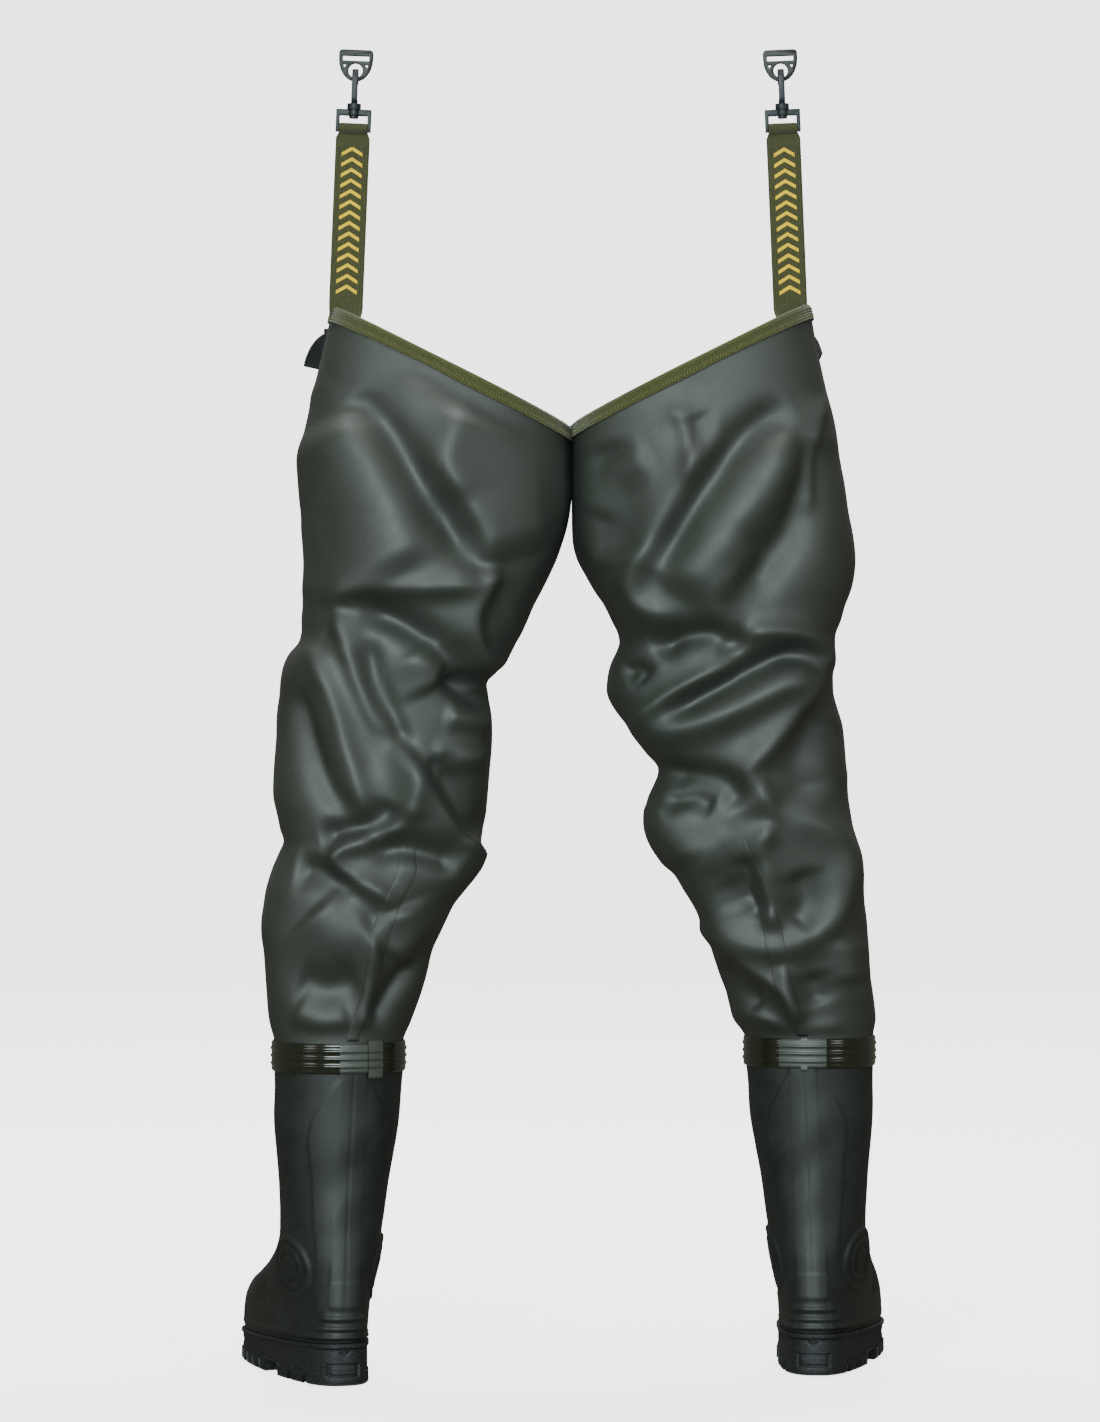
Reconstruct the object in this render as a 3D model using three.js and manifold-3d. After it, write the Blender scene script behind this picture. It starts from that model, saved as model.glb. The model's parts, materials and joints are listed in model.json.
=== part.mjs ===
// A pair of PVC thigh waders: two welded boots, each with a coated-fabric leg, a bound slanted top,
// an elastic suspension strap and a swivel hook that carries a belt loop.
// Millimetres. +Z up, toes towards -Y, the wearer's left towards +X. The origin is at the middle of
// the footprint's box, on the floor.
import * as THREE from 'three';
import { LoftGeometry } from 'three/addons/geometries/LoftGeometry.js';
import { mergeVertices } from 'three/addons/utils/BufferGeometryUtils.js';
import Module from 'manifold-3d';

const wasm = await Module();
wasm.setup();

const GAP = 0.3; // between pieces that touch
const AROUND = 28; // facets round a leg, a shaft or a foot

const BOOT = {
  length: 300, heelHalf: 38, ballHalf: 52, ankleHalf: 45.5, ankleHeight: 142,
  shaftRadius: 58, shaftTop: 290, heelToShaft: 66, // heel's back to the shaft's axis
  lean: 12, // the shaft's top stands this much nearer the other boot than its heel does
  toeInset: 8, // the toe's tip swings this far inward
  wall: 2.8, lining: 1.5, liningGap: 1.4, // the lining stands off the curved vamp
};
const SOLE = { heelHeight: 38, toeHeight: 24, welt: 3, lug: 11, heelBreast: 92, archEnd: 128, tread: 5 };
const WINDOW = { width: 31, height: 12, depth: 2, bottom: 8 }; // blank recess on the heel's back
const INSOLE = { thickness: 4, margin: 1.2 };
const BAND = { bottom: 277, top: 304, thickness: 2, rib: 1.2, ribs: 3 };
const LEG = { wall: 1.2, shoulder: 838, rimLow: 855, rimSlope: 0.505 };
const SEAM = { width: 14, thickness: 0.8 };
const BINDING = { width: 12, thickness: 1.4, edge: 1.4, clearance: 0.8 }; // clear of the leg's twisted facets
const STRAP = {
  width: 30, thickness: 2, length: 156, clearance: 1.2, // its foot's height over the binding
  footX: 199, topX: 192.5, anchor: 48, anchorAngle: 36,
};
const FRAME = { bar: 2.2, opening: 25.6, side: 2.7, depth: 4.4, rise: 14 };
const HOOK = { thickness: 5, halfDepth: 8, wire: 4, collar: 6, pin: 2.1, head: 4, headHeight: 2.2, top: 53 };
const GATE = { thickness: 3.4, reach: 40, foot: 9 }; // foot is above the hook's collar
const LOOP = {
  width: 30, thickness: 4, bottom: 42.2, wall: 2.7, hole: 6.75, web: 1.6, slot: 5, slotSide: 2.9, bar: 5,
  corner: 3, shoulder: 8, light: 4, // the arms curve in from the shoulder, with a small light beside the ring
};
const WEBBING = { width: 20, thickness: 1.6, drop: 2, from: -84, to: -40 };
const LOCK = { width: 26, length: 18, wall: 2.6, thickness: 4, angle: -24, tail: 42 };

// How each wader stands: its shaft's axis at the band, the turn of its toe, and the drape of its leg as
// height, middle across, half width and half depth.
const STANCE = {
  left: {
    side: 1, shaft: [206.5, -2.5], toeOut: 16,
    drape: [
      [358, 201, 71, 66], [412, 193, 82, 74], [466, 173, 91, 84], [520, 168, 95, 88], [574, 165, 96, 88],
      [628, 163, 94, 90], [682, 142, 100, 96], [736, 125, 114, 102], [790, 122, 119, 105],
      [844, 121, 117, 104], [900, 117, 112, 96], [930, 113, 109, 88], [980, 112, 97, 74],
    ],
  },
  right: {
    side: -1, shaft: [221, -75], toeOut: 9,
    drape: [
      [358, 207, 69, 66], [412, 196, 78, 74], [466, 175, 90, 84], [520, 164, 92, 88], [574, 157, 94, 88],
      [628, 146, 97, 90], [682, 142, 102, 96], [736, 132, 116, 102], [790, 127, 122, 105],
      [844, 121, 117, 104], [900, 117, 112, 96], [930, 113, 109, 88], [980, 112, 97, 74],
    ],
  },
};
const THIGH_Y = -20; // the thigh openings' middle, front to back

const COLOURS = {
  pvcLeg: [0x3d443d, 0.42], pvcBoot: [0x20261f, 0.38], outsole: [0x1d1f20, 0.7], lining: [0x6d6a5c, 0.95],
  band: [0x23271a, 0.12], patch: [0x394038, 0.5], binding: [0x5a5c2a, 0.85], strap: [0x54552e, 0.9],
  webbing: [0x141416, 0.85], acetal: [0x39414a, 0.4], loop: [0x26282c, 0.45],
};

const finish = ([color, roughness]) => new THREE.MeshStandardMaterial({ color, roughness, metalness: 0 });
const radians = THREE.MathUtils.degToRad;
const { lerp, clamp } = THREE.MathUtils;

// ---- solids and booleans ----

function solid(geometry) {
  const bare = new THREE.BufferGeometry().copy(geometry);
  bare.deleteAttribute('normal');
  bare.deleteAttribute('uv');
  const merged = mergeVertices(bare, 1e-4);
  return new wasm.Manifold(new wasm.Mesh({
    numProp: 3,
    vertProperties: new Float32Array(merged.attributes.position.array),
    triVerts: new Uint32Array(merged.index.array),
  }));
}

function geometryOf(manifold) {
  const mesh = manifold.getMesh();
  const geometry = new THREE.BufferGeometry();
  geometry.setAttribute('position', new THREE.BufferAttribute(new Float32Array(mesh.vertProperties), 3));
  geometry.setIndex(new THREE.BufferAttribute(new Uint32Array(mesh.triVerts), 1));
  return geometry;
}

// A box given by its middle and its size.
function block(width, depth, height, x = 0, y = 0, z = 0) {
  return solid(new THREE.BoxGeometry(width, depth, height).translate(x, y, z));
}

// A cylinder along X, Y or Z, given by its middle.
function rod(radius, length, axis, x, y, z, facets = 16) {
  const geometry = new THREE.CylinderGeometry(radius, radius, length, facets);
  if (axis === 'x') geometry.rotateZ(Math.PI / 2);
  if (axis === 'z') geometry.rotateX(Math.PI / 2);
  return solid(geometry.translate(x, y, z));
}

// An outline drawn across X (or Y) and Z, given a thickness along the third axis about its middle.
function plate(shape, thickness, across = 'x') {
  const settings = { depth: thickness, bevelEnabled: false, curveSegments: 6 };
  const geometry = new THREE.ExtrudeGeometry(shape, settings);
  geometry.translate(0, 0, -thickness / 2).rotateX(Math.PI / 2);
  if (across === 'y') geometry.rotateZ(Math.PI / 2);
  return solid(geometry);
}

// A wall that is closed on itself: up the outside rings and down the inside ones.
function tube(outside, inside) {
  return new LoftGeometry([...outside, ...inside.reverse(), outside[0]]);
}

function ring(place, start = 0) {
  return Array.from({ length: AROUND }, (_, i) => place(start + (i / AROUND) * 2 * Math.PI));
}

// A strip that lies on a surface: place(angle, height, out) gives its corners, `out` off the surface.
function strip(place, [from, to], heights, [near, far], steps = 4) {
  const angles = Array.from({ length: steps + 1 }, (_, i) => radians(lerp(from, to, i / steps)));
  const sections = heights.map((height) => [
    ...angles.map((angle) => place(angle, height, far)),
    ...[...angles].reverse().map((angle) => place(angle, height, near)),
  ]);
  return new LoftGeometry(sections, { capStart: true, capEnd: true });
}

// ---- boot ----

// Horizontal sections of the upper: height, back, front, half width at heel and ball, bluntness of the toe.
const UPPER = [
  [SOLE.heelHeight, 3, BOOT.length - 6, BOOT.heelHalf, BOOT.ballHalf, 0.72],
  [52, 3, BOOT.length - 8, BOOT.heelHalf + 1, BOOT.ballHalf, 0.74],
  [68, 3, BOOT.length - 20, BOOT.heelHalf + 2, BOOT.ballHalf - 1, 0.78],
  [80, 4, BOOT.length * 0.84, BOOT.heelHalf + 3, BOOT.ballHalf - 3, 0.82],
  [92, 5, BOOT.length * 0.7, BOOT.heelHalf + 4, BOOT.ballHalf - 5, 0.86],
  [106, 6, BOOT.length * 0.56, BOOT.ankleHalf - 2, BOOT.ankleHalf, 0.92],
  [122, 8, BOOT.length * 0.47, BOOT.ankleHalf - 1, BOOT.ankleHalf - 1, 0.96],
  [BOOT.ankleHeight, 10, BOOT.heelToShaft + BOOT.ankleHalf + 16, BOOT.ankleHalf, BOOT.ankleHalf, 1],
  [BOOT.ankleHeight + 30, 11, BOOT.heelToShaft + BOOT.shaftRadius, BOOT.ankleHalf + 3, BOOT.ankleHalf + 3, 1],
  [205, 10, BOOT.heelToShaft + BOOT.shaftRadius - 2, BOOT.shaftRadius - 5, BOOT.shaftRadius - 5, 1],
  [245, BOOT.heelToShaft - BOOT.shaftRadius + 1, BOOT.heelToShaft + BOOT.shaftRadius - 1,
    BOOT.shaftRadius - 1, BOOT.shaftRadius - 1, 1],
  [BAND.bottom - 4, BOOT.heelToShaft - BOOT.shaftRadius, BOOT.heelToShaft + BOOT.shaftRadius,
    BOOT.shaftRadius, BOOT.shaftRadius, 1],
  [BOOT.shaftTop, BOOT.heelToShaft - BOOT.shaftRadius, BOOT.heelToShaft + BOOT.shaftRadius,
    BOOT.shaftRadius, BOOT.shaftRadius, 1],
];
const bluntPower = (value, power) => Math.sign(value) * Math.abs(value) ** power;
const soleTop = (forward) => lerp(SOLE.heelHeight, SOLE.toeHeight, clamp(forward / BOOT.length, 0, 1));

// How far the upper has moved towards the other boot at a height.
const leanAt = (height) => BOOT.lean * clamp(height / BAND.bottom, 0, 1);

// The vamp is nearly level, so there an inset also lowers the ring, most at its front.
const VAMP = { low: 52, high: 142 };
const sinkAt = (height) => {
  const share = clamp((height - VAMP.low) / (VAMP.high - VAMP.low), 0, 1);
  return Math.sin(Math.PI * share) ** 0.5;
};

// A ring of the upper, `inset` in from its outside; +X is the boot's outer side when side is 1.
function footRing([height, back, front, heel, ball, blunt], inset, side, level = null) {
  return ring((angle) => {
    const forward = (back + front) / 2 - ((front - back) / 2 - inset) * Math.sin(angle);
    const share = clamp((forward - back) / (front - back), 0, 1);
    const half = lerp(heel, ball, share * share * (3 - 2 * share)) - inset;
    const drop = (SOLE.heelHeight - soleTop(forward)) * clamp((106 - height) / (106 - SOLE.heelHeight), 0, 1);
    const footShare = clamp((BOOT.ankleHeight - height) / (BOOT.ankleHeight - SOLE.heelHeight), 0, 1);
    const swing = BOOT.toeInset * footShare * (forward / BOOT.length) ** 2;
    const across = half * bluntPower(Math.cos(angle), blunt) - side * (swing + leanAt(height));
    const sink = Math.max(inset, 0) * share * share * sinkAt(height);
    return new THREE.Vector3(across, -forward, level ?? height - drop - sink);
  });
}

function bootShell(side) {
  const first = [UPPER[0][0] + GAP, ...UPPER[0].slice(1)];
  const sections = [first, ...UPPER.slice(1)];
  return tube(
    sections.map((section) => footRing(section, 0, side)),
    sections.map((section) => footRing(section, BOOT.wall, side)),
  );
}

function bootLining(side) {
  const rise = INSOLE.thickness + 2 * GAP;
  const sections = [[UPPER[0][0] + rise, ...UPPER[0].slice(1)], ...UPPER.slice(1)];
  const inset = BOOT.wall + BOOT.liningGap;
  return tube(
    sections.map((section) => footRing(section, inset, side)),
    sections.map((section) => footRing(section, inset + BOOT.lining, side)),
  );
}

// The foot's outline as a slab between the floor side and a top that slopes down towards the toe.
function footSlab(side, grow, bottom, lift) {
  const section = UPPER[0];
  const low = footRing(section, -grow, side, bottom);
  const high = low.map((p) => new THREE.Vector3(p.x, p.y, soleTop(-p.y) + lift));
  return new LoftGeometry([low, high], { capStart: true, capEnd: true });
}

function outsole(side) {
  const whole = solid(footSlab(side, SOLE.welt, 0, 0));
  const arch = SOLE.archEnd - SOLE.heelBreast;
  let sole = whole.subtract(block(200, arch, SOLE.lug * 2, 0, -(SOLE.heelBreast + SOLE.archEnd) / 2, 0));
  const groove = (forward) => block(200, SOLE.tread, SOLE.lug, 0, -forward, 0);
  for (let forward = SOLE.archEnd + 20; forward < BOOT.length - 15; forward += 24) {
    sole = sole.subtract(groove(forward));
  }
  for (const forward of [SOLE.heelBreast * 0.36, SOLE.heelBreast * 0.68]) {
    sole = sole.subtract(groove(forward));
  }
  const height = WINDOW.bottom + WINDOW.height / 2;
  const back = SOLE.welt - UPPER[0][1];
  const turn = -side * leanAt(SOLE.heelHeight);
  return geometryOf(sole.subtract(block(WINDOW.width, 2 * WINDOW.depth, WINDOW.height, turn, back, height)));
}

function insole(side) {
  const outline = footRing(UPPER[0], BOOT.wall + INSOLE.margin, side, 0);
  const at = (lift) => outline.map((p) => new THREE.Vector3(p.x, p.y, soleTop(-p.y) + lift));
  return new LoftGeometry([at(GAP), at(GAP + INSOLE.thickness)], { capStart: true, capEnd: true });
}

// ---- leg ----

function legDrape({ side, shaft, drape }, height) {
  const round = BOOT.shaftRadius;
  const start = [[BAND.bottom, shaft[0], round, round], [BAND.top + 1, shaft[0], round, round]];
  const rows = [...start, ...drape];
  const above = clamp(rows.findIndex((row) => row[0] >= height), 1, rows.length - 1);
  const upper = height > rows.at(-1)[0] ? rows.at(-1) : rows[above];
  const lower = rows[rows.indexOf(upper) - 1];
  const share = clamp((height - lower[0]) / (upper[0] - lower[0]), 0, 1);
  const [middle, halfWidth, halfDepth] = [1, 2, 3].map((k) => lerp(lower[k], upper[k], share));
  const rise = clamp((height - BAND.top) / (LEG.shoulder - BAND.top), 0, 1);
  return { x: side * middle, y: lerp(shaft[1], THIGH_Y, rise), halfWidth, halfDepth };
}

// A point on the leg: angle 0 is the leg's outer side and 90 degrees its back; `out` is off its outside.
function legPoint(stance, angle, height, out) {
  const { x, y, halfWidth, halfDepth } = legDrape(stance, height);
  const turned = stance.side > 0 ? angle : Math.PI - angle;
  const across = (halfWidth + out) * Math.cos(turned);
  return new THREE.Vector3(x + across, y + (halfDepth + out) * Math.sin(turned), height);
}

// The slanted top's height at an angle, where the leg's outline meets its plane.
function rimHeight(stance, angle) {
  let height = LEG.rimLow;
  for (let i = 0; i < 12; i += 1) {
    const across = stance.side * legPoint(stance, angle, height, 0).x;
    height = LEG.rimLow + LEG.rimSlope * Math.max(across, 0);
  }
  return height;
}

// A ring of the leg; `share` above the shoulder takes it from level to the slanted top, `below` under it.
function legRing(stance, height, out, share = 0, below = 0) {
  return ring((turned) => {
    const angle = stance.side > 0 ? turned : Math.PI - turned;
    const level = lerp(height, rimHeight(stance, angle) - below, share);
    return legPoint(stance, angle, level, out);
  });
}

function legTube(stance) {
  const heights = [BOOT.shaftTop + 2 * GAP, BAND.top + 1, ...stance.drape.map((row) => row[0])];
  const levels = heights.filter((height) => height < LEG.shoulder);
  const rings = (out) => [
    ...levels.map((height) => legRing(stance, height, out)),
    ...[0, 0.33, 0.67, 1].map((share) => legRing(stance, LEG.shoulder, out, share, BINDING.width)),
    legRing(stance, LEG.shoulder, out, 1),
  ];
  return tube(rings(0), rings(-LEG.wall));
}

// Tape folded over the slanted top, clear of the leg's edge and both of its faces.
function topBinding(stance) {
  const at = (out, below) => legRing(stance, LEG.shoulder, out, 1, below);
  const { thickness, width, edge, clearance } = BINDING;
  const inner = -LEG.wall - clearance;
  const outer = clearance + thickness;
  return new LoftGeometry([
    at(outer, width), at(outer, -GAP - edge),
    at(inner - thickness, -GAP - edge), at(inner - thickness, width),
    at(inner, width), at(inner, -GAP), at(clearance, -GAP), at(clearance, width), at(outer, width),
  ]);
}

function backSeam(stance) {
  const middle = 90 + stance.toeOut;
  const spread = THREE.MathUtils.radToDeg(SEAM.width / 2 / 85);
  const levels = stance.drape.map((row) => row[0]).filter((height) => height < LEG.shoulder);
  const heights = [BAND.top + 1.5, ...levels, LEG.shoulder];
  const place = (angle, height, out) => legPoint(stance, angle, height, out);
  const limits = stance.side > 0 ? [middle - spread, middle + spread] : [middle + spread, middle - spread];
  return strip(place, limits, heights, [GAP, GAP + SEAM.thickness]);
}

// ---- weld band ----

const BAND_NEAR = (BOOT.shaftRadius + GAP) / Math.cos(Math.PI / AROUND); // its flats clear the shaft's edges

function weldBand({ side, shaft }) {
  const near = BAND_NEAR;
  const far = near + BAND.thickness;
  const height = BAND.top - BAND.bottom;
  const pitch = height / (BAND.ribs + 1);
  const outline = [[near, 0], [far, 0]];
  for (let i = 1; i <= BAND.ribs; i += 1) {
    outline.push([far, i * pitch - 2], [far + BAND.rib, i * pitch], [far, i * pitch + 2]);
  }
  outline.push([far, height], [near, height], [near, 0]);
  const lathe = new THREE.LatheGeometry(outline.map(([r, z]) => new THREE.Vector2(r, z)), AROUND);
  return lathe.rotateX(Math.PI / 2).translate(side * shaft[0], shaft[1], BAND.bottom);
}

// The matte piece that laps the band's ends at the back.
function bandPatch(stance) {
  const out = BAND_NEAR + BAND.thickness + BAND.rib + GAP;
  const middle = 90 + stance.toeOut;
  const limits = stance.side > 0 ? [middle - 14, middle + 14] : [middle + 14, middle - 14];
  const place = (angle, height, radius) => {
    const turned = stance.side > 0 ? angle : Math.PI - angle;
    const x = stance.side * stance.shaft[0] + radius * Math.cos(turned);
    return new THREE.Vector3(x, stance.shaft[1] + radius * Math.sin(turned), height);
  };
  return strip(place, limits, [BAND.bottom + 1, BAND.top - 1], [out, out + 1]);
}

// ---- suspension strap and its hardware; heights here are above the frame's strap bar ----

const STRAP_EDGE = STRAP.footX + STRAP.width / 2;
const STRAP_FOOT = LEG.rimLow + LEG.rimSlope * STRAP_EDGE + GAP + BINDING.edge + STRAP.clearance;
const BAR_HEIGHT = STRAP_FOOT + STRAP.length;

function suspensionStrap() {
  const { width, thickness } = STRAP;
  const loop = FRAME.bar + GAP + thickness;
  const neck = FRAME.opening - 2 * GAP;
  const body = block(width, thickness, STRAP.length - 9, 0, 0, -(STRAP.length + 9) / 2);
  const eye = rod(loop, neck, 'x', 0, 0, 0).add(block(neck, 2 * thickness, 9, 0, 0, -5.5));
  const bore = rod(FRAME.bar + GAP, width + 2, 'x', 0, 0, 0);
  return geometryOf(eye.subtract(bore).add(body));
}

function strapFrame() {
  const { opening, side, depth, rise, bar } = FRAME;
  const width = opening + 2 * side;
  const arm = (x) => block(side, depth, rise + 4, x, 0, rise / 2 - 1);
  const top = block(width, depth, 5, 0, 0, rise).add(rod(5, 5, 'z', 0, 0, rise));
  const arms = arm((opening + side) / 2).add(arm(-(opening + side) / 2));
  const frame = top.add(arms).add(rod(bar, width - 1, 'x', 0, 0, 0));
  return geometryOf(frame.subtract(rod(HOOK.pin + GAP, 12, 'z', 0, 0, rise)));
}

// A racetrack outline round the Y and Z plane, between two heights.
function racetrack(half, bottom, top) {
  const shape = new THREE.Shape();
  shape.absarc(0, bottom + half, half, Math.PI, 2 * Math.PI);
  shape.absarc(0, top - half, half, 0, Math.PI);
  return shape;
}

function swivelHook() {
  const { thickness, halfDepth, wire, collar, pin, head, headHeight, top } = HOOK;
  const barTop = FRAME.rise + 2.5;
  const barBottom = FRAME.rise - 2.5;
  const base = barTop + GAP;
  const eye = plate(racetrack(halfDepth, base + 3, top), thickness, 'y');
  const foot = base + GATE.foot;
  const hollow = plate(racetrack(halfDepth - wire, foot, top - 4.5), thickness + 2, 'y');
  const mouthMiddle = (GATE.reach + foot) / 2;
  const mouth = block(thickness + 2, halfDepth, GATE.reach - foot, 0, -halfDepth * 0.76, mouthMiddle);
  const neck = rod(collar, 5, 'z', 0, 0, base + 2.5);
  const shank = rod(pin, barTop - barBottom + 4, 'z', 0, 0, FRAME.rise);
  const button = rod(head, headHeight, 'z', 0, 0, barBottom - GAP - headHeight / 2);
  return geometryOf(eye.subtract(hollow).subtract(mouth).add(neck).add(shank).add(button));
}

function hookGate() {
  const { halfDepth, wire } = HOOK;
  const bottom = FRAME.rise + 2.5 + GAP + GATE.foot + 2 * GAP;
  const height = GATE.reach - bottom - GAP;
  const gate = block(GATE.thickness, wire * 0.55, height, 0, -halfDepth + wire / 2, bottom + height / 2);
  return geometryOf(gate);
}

// The belt loop: a flat D with a belt slot across its top, a ring below it and a small light on each side.
function beltLoop() {
  const { width, thickness, bottom, wall, hole, web, slot, slotSide, bar, corner, shoulder, light } = LOOP;
  const ringZ = bottom + wall + hole;
  const slotZ = ringZ + hole + web + slot / 2;
  const top = slotZ + slot / 2 + bar;
  const half = width / 2;
  const shape = new THREE.Shape();
  shape.moveTo(-half, top - corner - 1);
  shape.absarc(-half + corner, top - corner, corner, Math.PI, Math.PI / 2, true);
  shape.absarc(half - corner, top - corner, corner, Math.PI / 2, 0, true);
  shape.absellipse(0, top - shoulder, half, top - shoulder - bottom, 0, -Math.PI, true);
  const opening = block(width - 2 * slotSide, thickness + 2, slot, 0, 0, slotZ);
  const bore = rod(hole, thickness + 2, 'y', 0, 0, ringZ, 20);
  let loop = plate(shape, thickness).subtract(bore).subtract(opening);
  for (const side of [-1, 1]) {
    const corners = [[0.2, 1.4], [1.2, 1.4], [0.9, 0.4]].map(
      ([across, up]) => new THREE.Vector2(side * (hole + across * light), ringZ + up * light),
    );
    loop = loop.subtract(plate(new THREE.Shape(corners), thickness + 2));
  }
  return geometryOf(loop);
}

// ---- thigh strap: black webbing on the outside of the leg, with a ladder lock and a loose end ----

function hemLevel(stance, angle, drop) {
  return rimHeight(stance, angle) - BINDING.width - drop;
}

function thighStrap(stance) {
  const angles = Array.from({ length: 6 }, (_, i) => radians(lerp(WEBBING.from, WEBBING.to, i / 5)));
  const order = stance.side > 0 ? angles : [...angles].reverse();
  const sections = order.map((angle) => {
    const top = hemLevel(stance, angle, WEBBING.drop);
    const corner = (out, level) => legPoint(stance, angle, level, out);
    const near = GAP + BINDING.thickness;
    const far = near + WEBBING.thickness;
    const bottom = top - WEBBING.width;
    return [corner(near, top), corner(far, top), corner(far, bottom), corner(near, bottom)];
  });
  return new LoftGeometry(sections, { capStart: true, capEnd: true });
}

function ladderLock() {
  const { width, length, wall, thickness } = LOCK;
  const opening = (length - 3 * wall) / 2;
  let lock = block(length, thickness, width);
  for (const side of [-1, 1]) {
    lock = lock.subtract(block(opening, thickness + 2, width - 2 * wall, side * (opening + wall) / 2));
  }
  return geometryOf(lock);
}

function lockTail(side) {
  const path = new THREE.CatmullRomCurve3([
    new THREE.Vector3(0, 0, 0), new THREE.Vector3(12, -side * 2.5, -3), new THREE.Vector3(24, -side * 9, -9),
    new THREE.Vector3(LOCK.tail * 0.8, -side * 17, -18),
  ]);
  const points = path.getPoints(5);
  const sections = points.map((point, i) => {
    const ahead = path.getTangent(i / 5);
    const off = new THREE.Vector3(-ahead.y, ahead.x, 0).normalize().multiplyScalar(WEBBING.thickness / 2);
    const up = new THREE.Vector3(0, 0, WEBBING.width / 2);
    const corner = (o, u) => point.clone().addScaledVector(off, o).addScaledVector(up, u);
    return [corner(1, -1), corner(1, 1), corner(-1, 1), corner(-1, -1)];
  });
  return new LoftGeometry(sections, { capStart: true, capEnd: true });
}

// ---- assembly ----

function add(group, name, geometry, colour) {
  const mesh = new THREE.Mesh(geometry, finish(COLOURS[colour]));
  mesh.name = name;
  group.add(mesh);
}

function boot(name, { side, shaft, toeOut }) {
  const group = new THREE.Group();
  const turn = side * radians(toeOut);
  const top = leanAt(BOOT.shaftTop);
  group.rotation.z = turn;
  const axis = new THREE.Vector3(-side * top, -BOOT.heelToShaft, 0);
  axis.applyAxisAngle(new THREE.Vector3(0, 0, 1), turn);
  group.position.set(side * shaft[0] - axis.x, shaft[1] - axis.y, 0);
  add(group, `${name}_outsole`, outsole(side), 'outsole');
  add(group, `${name}_insole`, insole(side), 'lining');
  add(group, `${name}_boot_shell`, bootShell(side), 'pvcBoot');
  add(group, `${name}_boot_lining`, bootLining(side), 'lining');
  return group;
}

function leg(name, stance) {
  const group = new THREE.Group();
  add(group, `${name}_weld_band`, weldBand(stance), 'band');
  add(group, `${name}_band_patch`, bandPatch(stance), 'patch');
  add(group, `${name}_leg`, legTube(stance), 'pvcLeg');
  add(group, `${name}_back_seam`, backSeam(stance), 'patch');
  add(group, `${name}_top_binding`, topBinding(stance), 'binding');
  const half = THREE.MathUtils.radToDeg(STRAP.width / 2 / 90);
  const middle = STRAP.anchorAngle;
  const limits = stance.side > 0 ? [middle - half, middle + half] : [middle + half, middle - half];
  const near = -LEG.wall - GAP - BINDING.thickness - GAP;
  const top = hemLevel(stance, radians(middle + half), 1);
  const place = (angle, height, out) => legPoint(stance, angle, height, out);
  const anchor = strip(place, limits, [top - STRAP.anchor, top], [near - STRAP.thickness, near]);
  add(group, `${name}_strap_anchor`, anchor, 'strap');
  add(group, `${name}_thigh_strap`, thighStrap(stance), 'webbing');
  return group;
}

function hardware(name, { side }, foot) {
  const group = new THREE.Group();
  const lean = Math.atan2(STRAP.footX - STRAP.topX, STRAP.length);
  group.rotation.y = -side * lean;
  group.position.set(side * STRAP.topX, foot.y, BAR_HEIGHT);
  add(group, `${name}_suspension_strap`, suspensionStrap(), 'strap');
  add(group, `${name}_strap_frame`, strapFrame(), 'acetal');
  add(group, `${name}_swivel_hook`, swivelHook(), 'acetal');
  add(group, `${name}_hook_gate`, hookGate(), 'acetal');
  add(group, `${name}_belt_loop`, beltLoop(), 'loop');
  return group;
}

function thighLock(name, stance) {
  const group = new THREE.Group();
  const angle = radians(LOCK.angle);
  const level = hemLevel(stance, angle, WEBBING.drop + WEBBING.width / 2);
  const out = GAP + BINDING.thickness + LOCK.thickness / 2 + 1.5;
  const middle = legPoint(stance, angle, level, out);
  const ahead = legPoint(stance, angle + 0.05, level, out).sub(legPoint(stance, angle - 0.05, level, out));
  group.position.copy(middle);
  group.rotation.z = Math.atan2(ahead.y, ahead.x);
  add(group, `${name}_ladder_lock`, ladderLock(), 'loop');
  add(group, `${name}_strap_tail`, lockTail(stance.side).translate(LOCK.length / 2 + GAP, 0, 0), 'webbing');
  return group;
}

function wader(name) {
  const stance = STANCE[name];
  const group = new THREE.Group();
  const foot = legPoint(stance, radians(STRAP.anchorAngle), STRAP_FOOT, -8);
  group.add(boot(name, stance), leg(name, stance), hardware(name, stance, foot), thighLock(name, stance));
  return group;
}

const pair = new THREE.Group();
pair.add(wader('left'), wader('right'));

// Move the pair so that the middle of its footprint's box is the origin.
const waders = new THREE.Group();
waders.add(pair);
waders.updateMatrixWorld(true);
const box = new THREE.Box3().setFromObject(pair, true);
pair.position.set(-(box.min.x + box.max.x) / 2, -(box.min.y + box.max.y) / 2, -box.min.z);

export default waders;
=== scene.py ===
"""A pair of PVC thigh waders.

Coated-fabric legs on welded boots, with bound slanted tops and elastic suspension straps.
"""
import json
import math

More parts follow.
